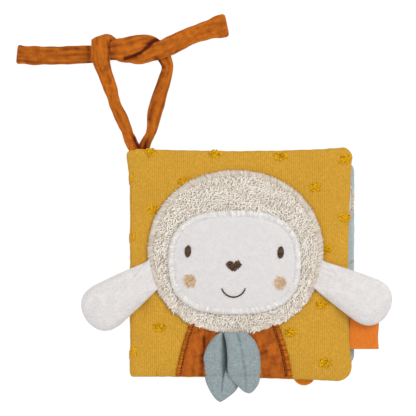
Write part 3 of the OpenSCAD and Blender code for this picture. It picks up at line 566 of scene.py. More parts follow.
# ties first: two flat tubes of muslin, knotted once
ties = {
    "corner": (-60.0, 61.5),
    "left": [
        (3, -4, 2.2, 6.8), (3, 0.6, 2.2, 6.8), (1.6, 3.1, 2, 6.8), (0.4, 5.8, 1.7, 6.6),
        (-0.8, 8.5, 1.4, 6), (-1.6, 11.3, 1.3, 6.2), (-2.9, 14, 1.3, 6.6), (-4, 16.8, 1.3, 6.9),
        (-5.3, 19.5, 1.3, 6.8), (-6.6, 22.3, 1.3, 6.5), (-7.9, 25, 1.3, 6.5), (-8.8, 28.3, 1.3, 6.8),
        (-10, 32.4, 1.3, 7.1), (-11.4, 36.5, 1.3, 7.5), (-12.8, 40.4, 1.4, 8.1), (-13.8, 43.4, 2.6, 8.6),
        (-14.6, 45.9, 4.6, 9), (-15.2, 48.3, 6.2, 9.4), (-15.7, 51.9, 6.7, 9.8), (-16, 55.2, 6.7, 9.9),
        (-16, 58.2, 6.7, 9.8), (-15.5, 60.7, 6.3, 9.6), (-14.8, 62.3, 4.2, 9.4), (-13.7, 61.6, 1.7, 9.2),
        (-11.8, 59.5, 1.3, 9), (-9.3, 56.9, 1.3, 8.8), (-6.9, 54.6, 1.3, 8.6), (-4.4, 53, 1.3, 8.4),
        (-1.7, 52.2, 1.3, 8.2), (1, 51.9, 1.3, 8), (3.5, 51.2, 1.6, 7.8), (5.9, 51, 2.3, 7.6),
        (8.4, 51.7, 3.3, 7.6), (11.2, 52.9, 4.1, 8.2), (13.9, 54, 4.3, 9.2), (16.7, 55.1, 4.3, 9.8),
        (19.7, 56.3, 4.1, 10), (23.3, 58, 3, 10), (27.6, 60.2, 1.8, 10), (33.1, 62.9, 1.3, 10),
        (38.6, 64.8, 1.3, 10.2), (44.1, 66.6, 1.3, 11), (49, 68, 1.3, 12.2), (53.3, 68.9, 1.3, 13.2),
    ],
    "right": [
        (7.9, -4, 2.2, 6.4), (7.9, 0.6, 2.2, 6.4), (8.4, 3.1, 2, 6), (9.6, 5.8, 1.7, 5.4),
        (11.1, 8.5, 1.4, 5.2), (12.1, 11.3, 1.3, 6), (12.7, 14, 1.3, 6.7), (13.1, 16.8, 1.3, 7.3),
        (13.5, 19.5, 1.3, 7.8), (14.1, 22.3, 1.3, 8), (15, 25, 1.3, 8.1), (15.7, 27.7, 1.3, 7.9),
        (16.9, 31.9, 1.3, 7.8), (18.3, 36, 1.3, 7.5), (19.5, 40.1, 1.3, 7), (20.5, 43.7, 1.3, 6.4),
        (20.7, 46.7, 1.3, 6.5), (19.8, 49.4, 1.3, 7), (18.6, 51.9, 1.3, 7.6), (16.9, 54.5, 1.3, 8.2),
        (14.5, 57, 1.3, 8.4), (11.6, 58.7, 1.6, 8.6), (8.7, 59.5, 2.4, 8.5), (5.9, 58.9, 3.6, 9.7),
        (3, 58, 4.1, 10.4), (0.2, 57.2, 4.2, 10.9), (-2.5, 56.2, 4.2, 11.1), (-5.3, 55.5, 4.2, 11.1),
        (-8.3, 54.8, 4.1, 10.8), (-11.9, 54.1, 4, 10.2), (-15.7, 53.4, 3.3, 9.8),
        (-20.1, 52.9, 2.2, 9.6), (-25, 52.8, 1.4, 9.6), (-31.6, 52.5, 1.3, 10), (-38.2, 52.2, 1.3, 10.1),
        (-45.9, 52.2, 1.3, 10.1), (-53, 52.2, 1.3, 9.8), (-57.4, 52.5, 1.3, 10.6),
        (-61.7, 52.9, 1.3, 11.2),
    ],
    # the pinched creases are also painted dark as shade, through the tie's tint
    "creases": [  # where the cloth is pinched: line, width, depth
        ([(15.2, 60.9), (12.4, 59.8), (10.4, 58.2)], 1.5, 0.75),
        ([(13.6, 60.2), (9.7, 56.4), (6.2, 53.7), (1.5, 51.7), (-2.5, 50.4)], 0.9, 1.0),
        ([(3.6, 51.6), (0.4, 50.6)], 1.5, 0.35),
        ([(15.0, 50.2), (18.2, 45.8)], 1.5, 0.6),
        ([(-22.6, 47.0), (-22.6, 58.5)], 1.1, 0.4),
        ([(-9.2, 49.5), (-9.0, 57.0)], 2.2, 0.2),
        ([(18.0, 43.0), (14.6, 33.0), (12.2, 26.0), (10.2, 17.0)], 0.9, 0.45),
        ([(3.2, 7.0), (5.0, 2.0), (5.4, -2.0)], 1.7, 0.7),
        ([(9.0, 4.0), (8.0, 0.0)], 2.4, 0.6),
        ([(-11.5, 50.0), (-11.0, 55.0), (-12.0, 60.0)], 0.8, 0.5),
        ([(-26.0, 52.6), (-61.0, 52.9)], 9.0, 0.14),
    ],
    "pale": [(-16.5, 52.0, 6.0, 0.16)],  # lighter spots on the left tie: place, size, how much
    "arch": [(-20.2, 60.8), (-19.6, 61.4), (-18.6, 62.0), (-17.1, 62.5), (-14.8, 63.3), (-13.3, 63.8),
             (-11.9, 63.9), (-10.6, 63.7), (-9.8, 63.3), (-8.5, 62.4), (-7.4, 61.5), (-6.3, 60.8)],
    "thick": 2.3, "rings": 240, "sides": 44, "crease": 0.3, "crinkle": 0.12,
    "closing": 2.2, "pinchDepth": 0.7, "drawUp": 2.2, "drawFrom": 57.5,
}


def tieFrame(mid):
    # level width vector carried along the band, and the way its face looks
    ahead = np.gradient(mid, axis=0)
    ahead /= np.linalg.norm(ahead, axis=1, keepdims=True)
    across = np.zeros_like(mid)
    w = np.cross(ahead[0], [0, 0, 1.0])
    for i in range(len(mid)):
        w = w - np.dot(w, ahead[i]) * ahead[i]
        w[2] = 0
        w /= np.linalg.norm(w)
        across[i] = w
    over = np.cross(across, ahead)
    over /= np.linalg.norm(over, axis=1, keepdims=True)
    return ahead, across, over


def creaseAt(x, y):
    # how deep the pinched creases are here
    deep = np.zeros_like(x)
    for line, wide, depth in ties["creases"]:
        q = np.array(line) + ties["corner"]
        near = np.full_like(x, 1e9)
        for a, b in zip(q[:-1], q[1:]):
            d = b - a
            k = np.clip(((x - a[0]) * d[0] + (y - a[1]) * d[1]) / (d @ d), 0, 1)
            near = np.minimum(near, np.hypot(x - a[0] - k * d[0], y - a[1] - k * d[1]))
        deep = np.maximum(deep, depth * np.exp(-(near / wide) ** 2))
    return deep


def archLoop(points, arch):
    # the turned-over loop is drawn up and held back by the arch it makes
    arch = arch + ties["corner"]
    x, y = points[..., 0], points[..., 1]
    low = ties["corner"][1] + ties["drawFrom"]
    inside = (x > arch[0, 0] - 0.8) & (x < arch[-1, 0])
    drawn = y + ties["drawUp"] * np.clip((y - low) / 5, 0, 1)
    points[..., 1] = np.where(inside, np.minimum(drawn, np.interp(x, arch[:, 0], arch[:, 1])), y)
    return points


def makeTie(name, route, seed, arch=None):
    q = np.array(route, float)
    q[:, :2] += ties["corner"]
    line = smoothLine(q, ties["rings"])
    mid, width = line[:, :3], line[:, 3]
    ahead, across, over = tieFrame(mid)
    run = runAlong(mid)
    a = np.linspace(0, 2 * np.pi, ties["sides"], endpoint=False)
    u = np.sign(np.cos(a)) * np.abs(np.cos(a)) ** 0.75
    v = np.sign(np.sin(a)) * np.abs(np.sin(a)) ** 0.8
    # sewn end: the last millimetres round off and close
    last = np.clip(1 - (run[-1] - run) / ties["closing"], 0, 1)
    width = width * (1 - 0.16 * last ** 3)
    half = np.minimum(ties["thick"] / 2, mid[:, 2] - 0.06) * (1 - 0.75 * last ** 4)
    # long soft folds down the band and small crinkles over it
    s = np.repeat(run[:, None], ties["sides"], axis=1)
    place = (width / 2)[:, None] * u[None, :]
    fold = ripple(s * 0.09, place, 2.3, seed, 12)
    small = ripple(s * 0.5, place + 40 * np.sign(v)[None, :], 2.6, seed + 1, 12)
    face = (0.15 + 0.85 * np.abs(v[None, :])) * (1 - 0.6 * last ** 2)[:, None]
    lift = half[:, None] * v[None, :] + (ties["crease"] * fold + ties["crinkle"] * small) * face
    reach = place * (1 + 0.045 * ripple(s, 0, 9, seed + 2))
    points = mid[:, None, :] + reach[..., None] * across[:, None, :] + lift[..., None] * over[:, None, :]
    if arch is not None:
        points = archLoop(points, np.array(arch))
    pinch = creaseAt(points[..., 0], points[..., 1])
    points[..., 2] -= ties["pinchDepth"] * pinch * np.maximum(0, v)[None, :]
    points[..., 2] = np.maximum(points[..., 2], 0.05)
    # painted light and shade: the band is lighter on its raised folds and crinkles and painted dark in the
    # pinched creases, where shade falls
    tint = 0.83 + 0.22 * fold + 0.14 * small - 1.3 * pinch
    # the left tie is lighter round these spots
    for px, py, size, more in ties["pale"] if arch is not None else []:
        fromSpot = np.hypot(points[..., 0] - ties["corner"][0] - px, points[..., 1] - ties["corner"][1] - py)
        tint = tint + more * np.exp(-(fromSpot / size) ** 4)
    tint = np.clip(tint, 0, 1)
    first = points[0].mean(0) * 0.8 + points[0] * 0.2
    lastRing = points[-1] * 0.75 + points[-1].mean(0) * 0.25 + ahead[-1] * 0.25
    rings = [first] + [points[i] for i in range(len(points))] + [lastRing]
    allPoints = np.vstack(rings + [first.mean(0)[None], lastRing.mean(0)[None]])
    shades = np.concatenate([tint[0], tint.ravel(), tint[-1] * 0.7, [0.5, 0.4]])
    piece = makePiece(name, allPoints, ringFaces(len(rings), ties["sides"]), "back_cover",
                      finishes["tieMuslin"], shades)
    return piece


tieLeft = makeTie("tieLeft", ties["left"], 11, ties["arch"])
tieRight = makeTie("tieRight", ties["right"], 23)
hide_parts("tie_left")
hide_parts("tie_right")
print("ties made")


# tufts on a staggered lattice; their places also dimple the cover
tuftSet = {
    "first": (-48.3, 60.75), "pitch": 35.4, "rows": 15.8, "lead": 0.86, "slant": 0.041,
    "long": 8.2, "wide": 6.0, "loops": 66, "yarn": 0.27, "high": 0.8,
    "top": ((-60, -20, 0, 40, 57), (62.3, 61.7, 61.5, 62.2, 63.3)),  # no loop reaches past this line
}
earSet = {
    "wide": 25.4, "root": 15.4, "puff": 5.2, "level": 30.7,
    "left": ((-47.2, -6.0), 214.0, 42.9), "right": ((43.2, -6.0), -28.5, 42.2),
}
shirtSet = {
    "left": ((-34.3, -47.2, -57.0, -61.5), (-27.3, -31.05, -33.6, -33.9)),
    "right": ((-33.7, -44.0, -54.8, -61.9), (20.8, 24.55, 27.0, 28.1)),
    "thick": 1.0, "depth": 0.85,
    "pleats": [(-19.6, 1.0), (-23.2, 0.25), (13.4, 0.4), (-28.6, 0.2), (21.6, 0.25), (17.2, 0.16)],
    # painted shade streaks down the cloth beside the pleats and the left leaf, and a lighter one where much
    # is below zero: how much, where, how wide, lower end and its fade, upper end and its fade
    "shadeStreaks": [
        (0.5, -20.6, 1.5, (-99, 4), (-46, 4)), (0.85, -19.0, 0.8, (-52, 4), (-37, 3)),
        (0.32, -16.6, 1.9, (-52, 4), (99, 4)), (-0.12, -25.5, 3.5, (-99, 4), (99, 4)),
    ],
    # underHead is painted shade just below the head; patch is a darker spot beside the right leaf
    "patch": (0.3, 14.6, 1.6, -51, 6), "underHead": 0.2, "shade": 0.84, "blots": 0.2,
}


def shirtSide(which, y):
    # side edge of the shirt at height y, gently curved
    ys, xs = shirtSet[which]
    return np.polyval(np.polyfit(ys, xs, 2), y)


def earAt(x, y, root, turn):
    c, s = math.cos(math.radians(turn)), math.sin(math.radians(turn))
    return (x - root[0]) * c + (y - root[1]) * s, (y - root[1]) * c - (x - root[0]) * s


def hiddenSpot(x, y):
    # under the head, an ear or the shirt
    if ovalReach(x, y, head, 0.5) < 1:
        return True
    for root, turn, full in (earSet["left"], earSet["right"]):
        t, n = earAt(x, y, root, turn)
        if abs(n) < earSet["wide"] / 2 - 1 and -6 < t < full:
            return True
    return y < -31 and shirtSide("left", y) - 1 < x < shirtSide("right", y) + 1


def tuftPlaces():
    places = []
    reachY = book["height"] / 2 - 1.4
    for k in range(9):
        for j in range(-1, 5):
            x = tuftSet["first"][0] + tuftSet["pitch"] * (j - (k % 2) / 2) + tuftSet["lead"] * k
            y = tuftSet["first"][1] - tuftSet["rows"] * k - tuftSet["slant"] * (x - tuftSet["first"][0])
            if not (book["left"] + 1.5 < x < book["right"] + 1 and abs(y) < book["height"] / 2 + 2):
                continue
            x = min(x, book["right"] - 2.8)
            y = max(-reachY, min(reachY, y))
            if not hiddenSpot(x, y):
                places.append((x, y))
    return places


tuftSpots = tuftPlaces() + [(46.6, 7.9)]  # the last one shows beside the head
foldSpots = [(-58.4, 46.7, 0.12), (-57.2, 15.2, 0.12), (-56.6, -47.6, 0.3)]


def coverSkin(x, y):
    # front cover's cloth: broad waves, small crumples, and a dimple under each sewn piece
    away = np.clip((ovalReach(x, y, head, 0) - 1.0) * 9, 0, 1)
    z = coverZ(x, y)
    z = z + away * (0.28 * ripple(x, y, 24, 3) + 0.1 * ripple(x, y, 7, 4))
    reach = (ovalReach(x, y, head, 0.6) - 1) * 46
    z = z - 0.55 * np.exp(-np.maximum(0, reach) ** 2 / 2.2) * (reach > -3)
    for tx, ty in tuftSpots:
        z = z - 0.35 * np.exp(-((x - tx) ** 2 + (y - ty) ** 2 * 1.5) / 12.0)
    # dent below the left ear
    return z - 1.0 * np.exp(-((x + 53.0) / 3.2) ** 2 - ((y + 25.0) / 6.0) ** 2)


def coverFace(x, y):
    return coverSkin(*pulledBack(x, y))


# covers
shares = {
    "fine": [1.0, 0.998, 0.994, 0.989, 0.983, 0.976, 0.968, 0.959, 0.949, 0.938, 0.925, 0.91, 0.893, 0.875,
             0.855, 0.833, 0.81, 0.785, 0.758, 0.73, 0.7, 0.668, 0.635, 0.6, 0.56, 0.52, 0.475, 0.43, 0.38,
             0.33, 0.28, 0.23, 0.18, 0.13, 0.08, 0.04],
    "coarse": [1.0, 0.99, 0.97, 0.94, 0.9, 0.84, 0.7, 0.4],
}
shares["plain"] = shares["fine"][:-6]
liningSet = {"insets": (1.2, 1.8, 3.6), "thick": 3.0, "rim": 0.6}


def edgePucker(line, seed):
    # uneven sewn edge: small gathers along the seam
    return ripple(runAlong(line), 0, 8, seed, 11)


def withGathers(z, gathers, share, depth, reach, calm, half=60.0):
    # the gathers die away over reach millimetres from the seam and are calmer right at it
    if len(z) != len(gathers):
        return z  # the one point in the middle of a pad
    near = np.exp(-(1 - share) * half / reach)
    return z + depth * gathers * near * (1 - calm * near)


def makeFrontCover():
    line = drawnIn(coverLine(420, lowCorner=book["hemCorner"]))
    gathers = edgePucker(line, 31)
    out = (line - coverCentre) / np.linalg.norm(line - coverCentre, axis=1, keepdims=True)
    line = line + out * (0.12 * gathers)[:, None]

    def low(x, y, share):
        return np.full_like(x, book["frontSeam"] + 0.03)

    def high(x, y, share):
        z = withGathers(coverSkin(x, y), gathers, share, 0.22, 4.0, 0.6)
        return np.maximum(z, book["frontSeam"] + 0.1)

    def edge(outline, middle):
        level = np.full(len(outline), book["frontSeam"])
        return [np.column_stack([middle + (outline - middle) * grow, level + up])
                for grow, up in ((1.0015, 0.12), (1.003, 0.35), (1.0025, 0.6))]

    piece = makePad("frontCoverCloth", line, coverCentre, [0.985, 0.9], shares["fine"], low, high,
                    "front_cover", finishes["jersey"], edge, cornersOut)
    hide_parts("front_cover")


def makeBackCover():
    line = drawnIn(coverLine(300))
    gathers = edgePucker(line, 41)

    def low(x, y, share):
        rise = book["edge"] + book["backPuff"] * coverFill(x, y, 8)
        z = book["backSeam"] - np.minimum(book["backSeam"], rise)
        z = withGathers(z, gathers, share, 0.2, 3.0, 0.6)
        inner = 0.036 * (1 + ripple(x, y, 16, 5)) * np.clip((0.8 - share) * 8, 0, 1)
        return np.clip(z + inner, 0.0, book["backSeam"] - 0.1)

    def high(x, y, share):
        return np.full_like(x, book["backSeam"] - 0.03)

    piece = makePad("backCoverCloth", line, coverCentre, shares["plain"], [0.985, 0.9], low, high,
                    "back_cover", finishes["jersey"])
    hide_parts("back_cover")


def makeLining(name, node, body, seam, sign):
    # sign is 1 where the lining's full side looks up, -1 where it looks down
    line = coverLine(260, liningSet["insets"])
    gathers = edgePucker(line, 51 + sign)

    def flat(x, y, share):
        return np.full_like(x, seam + sign * 0.02)

    def full(x, y, share):
        fill = pillow((x - coverMiddle) / (coverHalf - 1), 2 * y / (book["height"] - 2.4), 10)
        z = np.minimum(liningSet["thick"], liningSet["rim"] + liningSet["thick"] * fill)
        z = withGathers(z, gathers, share, 0.15, 3.0, 1.0)
        if share < 0.9:
            z = z + 0.05 * ripple(x, y, 13, 6) - 0.05
        return seam + sign * np.clip(z, 0.1, liningSet["thick"] + 0.02)

    sides = [([1.0], flat), (shares["plain"], full)][::sign]
    (lowShares, low), (highShares, high) = sides
    piece = makePad(name, line, coverCentre, lowShares, highShares, low, high, body, finishes["lining"])
    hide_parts(node)


makeFrontCover()
makeBackCover()
makeLining("frontLiningCloth", "front_lining", "front_cover", book["frontSeam"], -1)
makeLining("backLiningCloth", "back_lining", "back_cover", book["backSeam"], 1)
print("covers made")


# spine: one outer cloth that turns at both folds, in two lengths meeting at its middle
spineSet = {
    "low": [(-52.0, 0.35), (-54.5, 0.55), (-57.0, 0.7), (-59.0, 1.6), (-60.0, 3.6), (-60.3, 8.0),
            (-60.3, 14.5)],
    "lowInside": [(-58.1, 14.5), (-58.1, 6.0), (-57.6, 4.6), (-54.6, 3.4)],
    "high": [(-60.3, 14.5), (-60.3, 20.0), (-60.4, 23.5), (-60.1, 25.6), (-59.1, 27.0), (-57.6, 27.75),
             (-55.8, 28.1), (-54.0, 28.25), (-52.0, 28.6), (-50.0, 28.85), (-48.0, 29.05), (-46.0, 29.2),
             (-44.5, 29.2)],
    "highInside": [(-55.4, 25.6), (-57.6, 24.4), (-58.1, 23.0), (-58.1, 14.5)],
    "half": 61.2, "rings": 190, "round": 3.2, "turn": -57.6, "middle": 14.5,
    "lining": {"high": 20.0, "long": 121.4, "corner": 2.5, "from": -58.0},
}


def spineReach(y):
    # how far the fold stands out: more at the top corner
    s = np.clip((y - 41) / 19, 0, 1)
    return 0.6 + 0.66 * s * s * (3 - 2 * s) + 0.04 * ripple(y, 0, 17, 63)


def foldSkin(x, z, y):
    # height of the cloth where it turns over the fold and runs onto the cover
    vf = np.sqrt(np.maximum(0, 1 - np.abs(2 * y / book["height"]) ** 4))
    k = np.clip((x + 58.6) / 3.0, 0, 1)
    k = k * k * (3 - 2 * k)
    return (1 - k) * (25.0 + (z - 25.0) * vf) + k * (coverSkin(x, y) + (z - coverZ(x, 0 * y)) * vf)


def makeSpineHalf(name, outside, inside, seed):
    n = 44
    outer = smoothLine(outside, n)
    inner = smoothLine(inside, 12)
    profile = np.vstack([outer, inner])
    steps = np.linspace(-1, 1, spineSet["rings"])
    rings = []
    for y in (np.sin(steps * np.pi / 2) * 0.35 + steps * 0.65) * spineSet["half"]:
        past = max(0.0, (abs(y) - (spineSet["half"] - spineSet["round"])) / spineSet["round"])
        keep = math.sqrt(max(0.0, 1 - past ** 2.2))
        p = profile.copy()
        yy = np.full(n, y)
        x, z = p[:n, 0].copy(), p[:n, 1].copy()
        reach = float(spineReach(np.array([y]))[0]) * (0.25 + 0.75 * keep)
        upper = z > book["frontSeam"]
        z[upper] = foldSkin(x[upper], z[upper], yy[upper])
        ease = 0.14 * ripple(yy, z, 15, seed) + 0.07 * ripple(yy, z, 5, seed + 1)
        fade = np.clip(np.abs(z - spineSet["middle"]) / 2.0, 0, 1)
        x = np.where(x < spineSet["turn"], spineSet["turn"] + (x - spineSet["turn"]) * reach, x)
        x = x - ease * fade * (x < -58)
        p[:n, 0], p[:n, 1] = x, np.clip(z, 0.25, 40)
        rings.append(np.column_stack([p[:, 0], np.full(len(p), y), p[:, 1]]))
    points = np.vstack(rings + [rings[0].mean(0)[None], rings[-1].mean(0)[None]])
    piece = makePiece(name, points, ringFaces(len(rings), len(profile)), None, finishes["jersey"])
    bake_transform(piece)
    return piece


spineLow = makeSpineHalf("spineClothLower", spineSet["low"], spineSet["lowInside"],
                         61)
makeSpineHalf("spineClothUpper", spineSet["high"], spineSet["highInside"],
              61)
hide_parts("spine")


def makeSpineLining():
    s = spineSet["lining"]
    line = panelLine(-s["high"] / 2, s["high"] / 2, s["long"], s["corner"], s["corner"], 200)
    rings = [np.column_stack([line, np.zeros(len(line))])]
    for share in shares["coarse"]:
        x, y = (line * share).T
        z = 0.3 + 0.6 * pillow(2 * x / s["high"], 2 * y / s["long"], 3) + 0.04 * ripple(x, y, 8, 7)
        rings.append(np.column_stack([x, y, z]))
    pts = np.vstack(rings + [[[0, 0, 0.0]], [[0, 0, 0.9]]])
    # plan x runs up the spine and height runs inwards
    place = np.column_stack([s["from"] + pts[:, 2], pts[:, 1], spineSet["middle"] + pts[:, 0]])
    piece = makePiece("spineLiningCloth", place, ringFaces(len(rings), len(line)), "spine",
                      finishes["lining"])
    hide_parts("spine_lining")


makeSpineLining()
print("spine made")


# pages: two stuffed leaves sewn together at the gutter
pageSet = {
    "left": -54.5, "right": 62.5, "height": 110.0, "corner": 5.0, "rim": 1.4, "thick": 6.6,
    "middles": (10.6, 17.6), "gutterHalf": 50,
}


def leafFill(x, y):
    mid = (pageSet["left"] + pageSet["right"]) / 2
    return pillow((x - mid) / (pageSet["right"] - pageSet["left"]) * 2, 2 * y / pageSet["height"], 8)


def leafHalf(x, y):
    # half the thickness of a leaf
    return pageSet["rim"] / 2 + (pageSet["thick"] - pageSet["rim"]) / 2 * leafFill(x, y)


def leafTop(x, y):
    return pageSet["middles"][1] + leafHalf(x, y)


def makeLeaf(name, middle, seed):
    mid = np.array([(pageSet["left"] + pageSet["right"]) / 2, 0.0])
    line = panelLine(pageSet["left"], pageSet["right"], pageSet["height"], pageSet["corner"],
                     pageSet["corner"], 360)
    gathers = edgePucker(line, seed)
    out = (line - mid) / np.linalg.norm(line - mid, axis=1, keepdims=True)
    line = line + out * (0.15 * gathers - 0.15)[:, None]

    def skin(x, y, share):
        return withGathers(leafHalf(x, y), gathers, share, 0.2, 3.0, 0.7) - 0.03

    piece = makePad(name, line, mid, shares["plain"], shares["plain"],
                    lambda x, y, share: middle - skin(x, y, share),
                    lambda x, y, share: middle + skin(x, y, share), "back_cover", finishes["page"])
    return piece


makeLeaf("leafLower", pageSet["middles"][0], 71)
leafHigh = makeLeaf("leafUpper", pageSet["middles"][1], 73)
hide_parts("pages")


def makeGutter():
    # folded cloth strip that holds the two leaves at the spine side
    outside = smoothLine([(-51.0, 9.4), (-53.6, 10.4), (-54.4, 14.1), (-53.6, 17.8), (-51.0, 18.8)], 16)
    inside = smoothLine([(-50.4, 17.6), (-52.6, 14.1), (-50.4, 10.6)], 8)
    section = np.vstack([outside, inside])
    m = len(section)
    rings = [np.column_stack([section[:, 0], np.full(m, y), section[:, 1]])
             for y in np.linspace(-pageSet["gutterHalf"], pageSet["gutterHalf"], 60)]
    points = np.vstack(rings + [rings[0].mean(0)[None], rings[-1].mean(0)[None]])
    piece = makePiece("pageGutter", points, ringFaces(len(rings), m), "back_cover", finishes["page"])


makeGutter()


cloud = {"middle": (53.4, 34.0), "half": (8.9, 9.0), "power": 4.0, "stitches": 150, "yarn": 0.22}


def makeCloud():
    def low(x, y, share):
        return leafTop(x, y) + 0.05

    def high(x, y, share):
        return leafTop(x, y) + 0.15 + 0.5 * (1 - share ** 8) + 0.03 * ripple(x, y, 3, 8)

    piece = makePad("pageCloudCloth", ovalLine(cloud, 120), cloud["middle"], [1.0, 0.8, 0.4],
                    [1.0, 0.97, 0.92, 0.8, 0.6, 0.3], low, high, "back_cover", finishes["cream"])
    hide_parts("page_cloud")


def makeCloudEdge():
    # whipped edge of the patch
    n = cloud["stitches"]
    share = np.linspace(0, 1, 6)[None, :, None]
    flat = ovalLine(cloud, n, -0.1)[:, None, :] * (1 - share) + ovalLine(cloud, n, -1.5)[:, None, :] * share
    z = leafTop(flat[..., 0], flat[..., 1]) + 0.2 + 0.55 * np.sin(np.linspace(0, np.pi, 6))[None, :]
    rng = np.random.RandomState(81)
    edge = makeStrands("pageCloudEdge", np.concatenate([flat, z[..., None]], 2), cloud["yarn"], "back_cover",
                       finishes["creamThread"], rng.uniform(0, 1, n))


makeCloud()
makeCloudEdge()


# cloth tongue of the first leaf: it hangs from top, with a half-round end
tab = {"x": 35.2, "wide": 12.2, "out": 11.4, "top": -55.0, "z": 17.6, "puff": 0.5}


def makeTab():
    rows, cols = 40, 24
    across = np.linspace(-1, 1, cols)
    grid = np.zeros((rows, cols, 3))
    base = np.zeros((rows, cols, 3))
    reach = tab["wide"] / 2
    for i in range(rows):
        f = i / (rows - 1)
        down = tab["out"] * math.sin(f * math.pi / 2)
        past = max(0.0, (down - (tab["out"] - reach)) / reach)
        half = max(0.25, reach * math.sqrt(max(0.0, 1 - past * past)))
        bulge = np.sqrt(np.maximum(0, 1 - across ** 4)) * math.sqrt(max(0.02, 1 - f ** 6))
        x, y = tab["x"] + across * half, np.full(cols, tab["top"] - down)
        grid[i] = np.column_stack([x, y, tab["z"] + 0.1 + tab["puff"] * bulge])
        base[i] = np.column_stack([x, y, tab["z"] - 0.1 - tab["puff"] * bulge])
    piece = makeCloth("pageTabCloth", grid, base, "back_cover", finishes["tabMuslinLit"])
    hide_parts("page_tab")


makeTab()


def makePageStitch():
    # small yellow thread at the leaf's fore edge
    paths = []
    for k in range(3):
        x = 60.4 + 0.8 * k
        t = np.linspace(0, 1, 6)
        y = 0.3 + 0.5 * k + (t - 0.5) * 1.2
        z = leafTop(np.full(6, x), y) + 0.1 + 0.25 * np.sin(t * np.pi)
        paths.append(np.column_stack([np.full(6, x), y, z]))
    piece = makeStrands("pageStitch", np.array(paths), 0.14, "back_cover", finishes["tuft"], [0.9, 0.6, 0.8])


makePageStitch()
print("pages made")


# knitted tufts: short loops of yarn worked into the cloth
def tuftPaths(cx, cy, ground, rng, high=1.0, squeeze=1.0):
    # short loops, close together in the middle and thinning out round the rim
    paths, tint = [], []
    t = np.linspace(-1, 1, 6)
    for i in range(tuftSet["loops"]):
        r = rng.uniform(0, 1) ** 0.6 * 0.96
        a = rng.uniform(0, 2 * math.pi)
        x = cx + (tuftSet["long"] / 2 - 0.6) * r * math.cos(a) * squeeze
        y = cy + (tuftSet["wide"] / 2 - 0.5) * r * math.sin(a)
        turn = rng.choice([-0.5, 0.25, 0.9, 1.4]) + rng.uniform(-0.4, 0.4)
        half = rng.uniform(0.4, 0.72) * (1 if squeeze == 1 else 0.6)
        px = x + half * t * math.cos(turn) + 0.14 * np.sin(t * 3 + i)
        py = y + half * t * math.sin(turn) * 0.9 + 0.14 * np.cos(t * 2.4 + i)
        py = np.minimum(py, np.interp(px, *tuftSet["top"]) + 0.25 * math.sin(3.1 * i))
        up = rng.uniform(0.5, 1.0) * tuftSet["high"] * high * (1 - 0.45 * r)
        paths.append(np.column_stack([px, py, ground(px, py) + 0.03 + up * (1 - t ** 2) ** 0.7]))
        tint.append(rng.uniform(0, 1) ** 0.8)
    return paths, tint


def tuftLoops(spots, ground, rng, high=1.0):
    paths, tint = [], []
    for x, y, squeeze in spots:
        loops, shades = tuftPaths(x, y, ground, rng, high, squeeze)
        paths += loops
        tint += shades
    return np.array(paths), tint


def foldTop(x, y):
    return foldSkin(x, np.interp(x, [-62, -60, -57.6, -54], [25.2, 26.6, 27.75, 28.25]), y)


def makeTufts():
    rng = np.random.RandomState(17)
    paths, tint = tuftLoops([(x, y, 1) for x, y in tuftSpots], coverFace, rng)
    loops = makeStrands("coverTufts", paths, tuftSet["yarn"], "front_cover", finishes["tuft"], tint)
    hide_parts("cover_tufts")
    paths, tint = tuftLoops(foldSpots, foldTop, rng, 0.8)
    fold = makeStrands("foldTufts", paths, tuftSet["yarn"], "front_cover", finishes["tuft"], tint)
    # on the spine the loops stand outwards, towards the left
    spots = [(0.0, tuftSet["first"][1] - tuftSet["rows"] * k, 1) for k in (1, 3, 5, 7)]
    q, tint = tuftLoops(spots, lambda x, y: 0.0 * x, rng, 0.5)
    out = -57.75 - 2.7 * spineReach(q[..., 1]) - q[..., 2]
    paths = np.stack([out, q[..., 1], spineSet["middle"] + q[..., 0]], 2)
    spineLoops = makeStrands("spineTufts", paths, tuftSet["yarn"], "spine", finishes["tuft"], tint)
    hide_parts("spine_tufts")


makeTufts()
print("tufts made:", len(tuftSpots))


# head: looped fleece, its stitched edge, and the face
fleeceSet = {"rows": 0.86, "columns": 1.2, "yarn": (0.26, 0.36), "long": (0.7, 1.15), "high": (0.35, 1.0)}


def fleecePlaces(rng):
    # staggered rows of loops, jittered; low on the head they spill over its stitched edge
    ys, xs = np.meshgrid(np.arange(-40, 52, fleeceSet["rows"]), np.arange(-52, 48, fleeceSet["columns"]),
                         indexing="ij")
    xs = xs + (np.arange(len(xs)) % 2)[:, None] * fleeceSet["columns"] / 2
    x = (xs + rng.uniform(-0.36, 0.36, xs.shape)).ravel()
    y = (ys + rng.uniform(-0.3, 0.3, ys.shape)).ravel()
    ragged = 0.55 * ripple(x, y, 5, 21) + rng.uniform(-0.35, 0.35, len(x))
    spill = np.clip((-14 - y) / 8, 0, 1)
    grow = -head["border"] - 0.35 + 3.1 * spill + ragged * (0.5 + 0.5 * spill)
    a, b = head["half"][0] + grow, head["half"][1] + grow
    p = head["power"]
    inside = np.abs((x - head["middle"][0]) / a) ** p + np.abs((y - head["middle"][1]) / b) ** p < 1
    keep = inside & (ovalReach(x, y, faceOval, -0.2) > 1)
    return x[keep], y[keep]


def fleeceSkin(x, y):
    return fleeceTop(x, y) - 0.75 + 0.2 * ripple(x, y, 6, 9) + 0.16 * ripple(x, y, 15, 10)


def makeFleeceGround():
    oval = dict(head, half=(head["half"][0] - head["border"] + 0.2, head["half"][1] - head["border"] + 0.2))

    def low(x, y, share):
        return coverZ(x, y) + 0.15

    def high(x, y, share):
        return fleeceSkin(x, y)

    piece = makePad("fleeceGround", ovalLine(oval, 200), head["middle"], [1.0, 0.6], shares["fine"],
                    low, high, "front_cover", finishes["fleeceGround"])
    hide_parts("fleece")


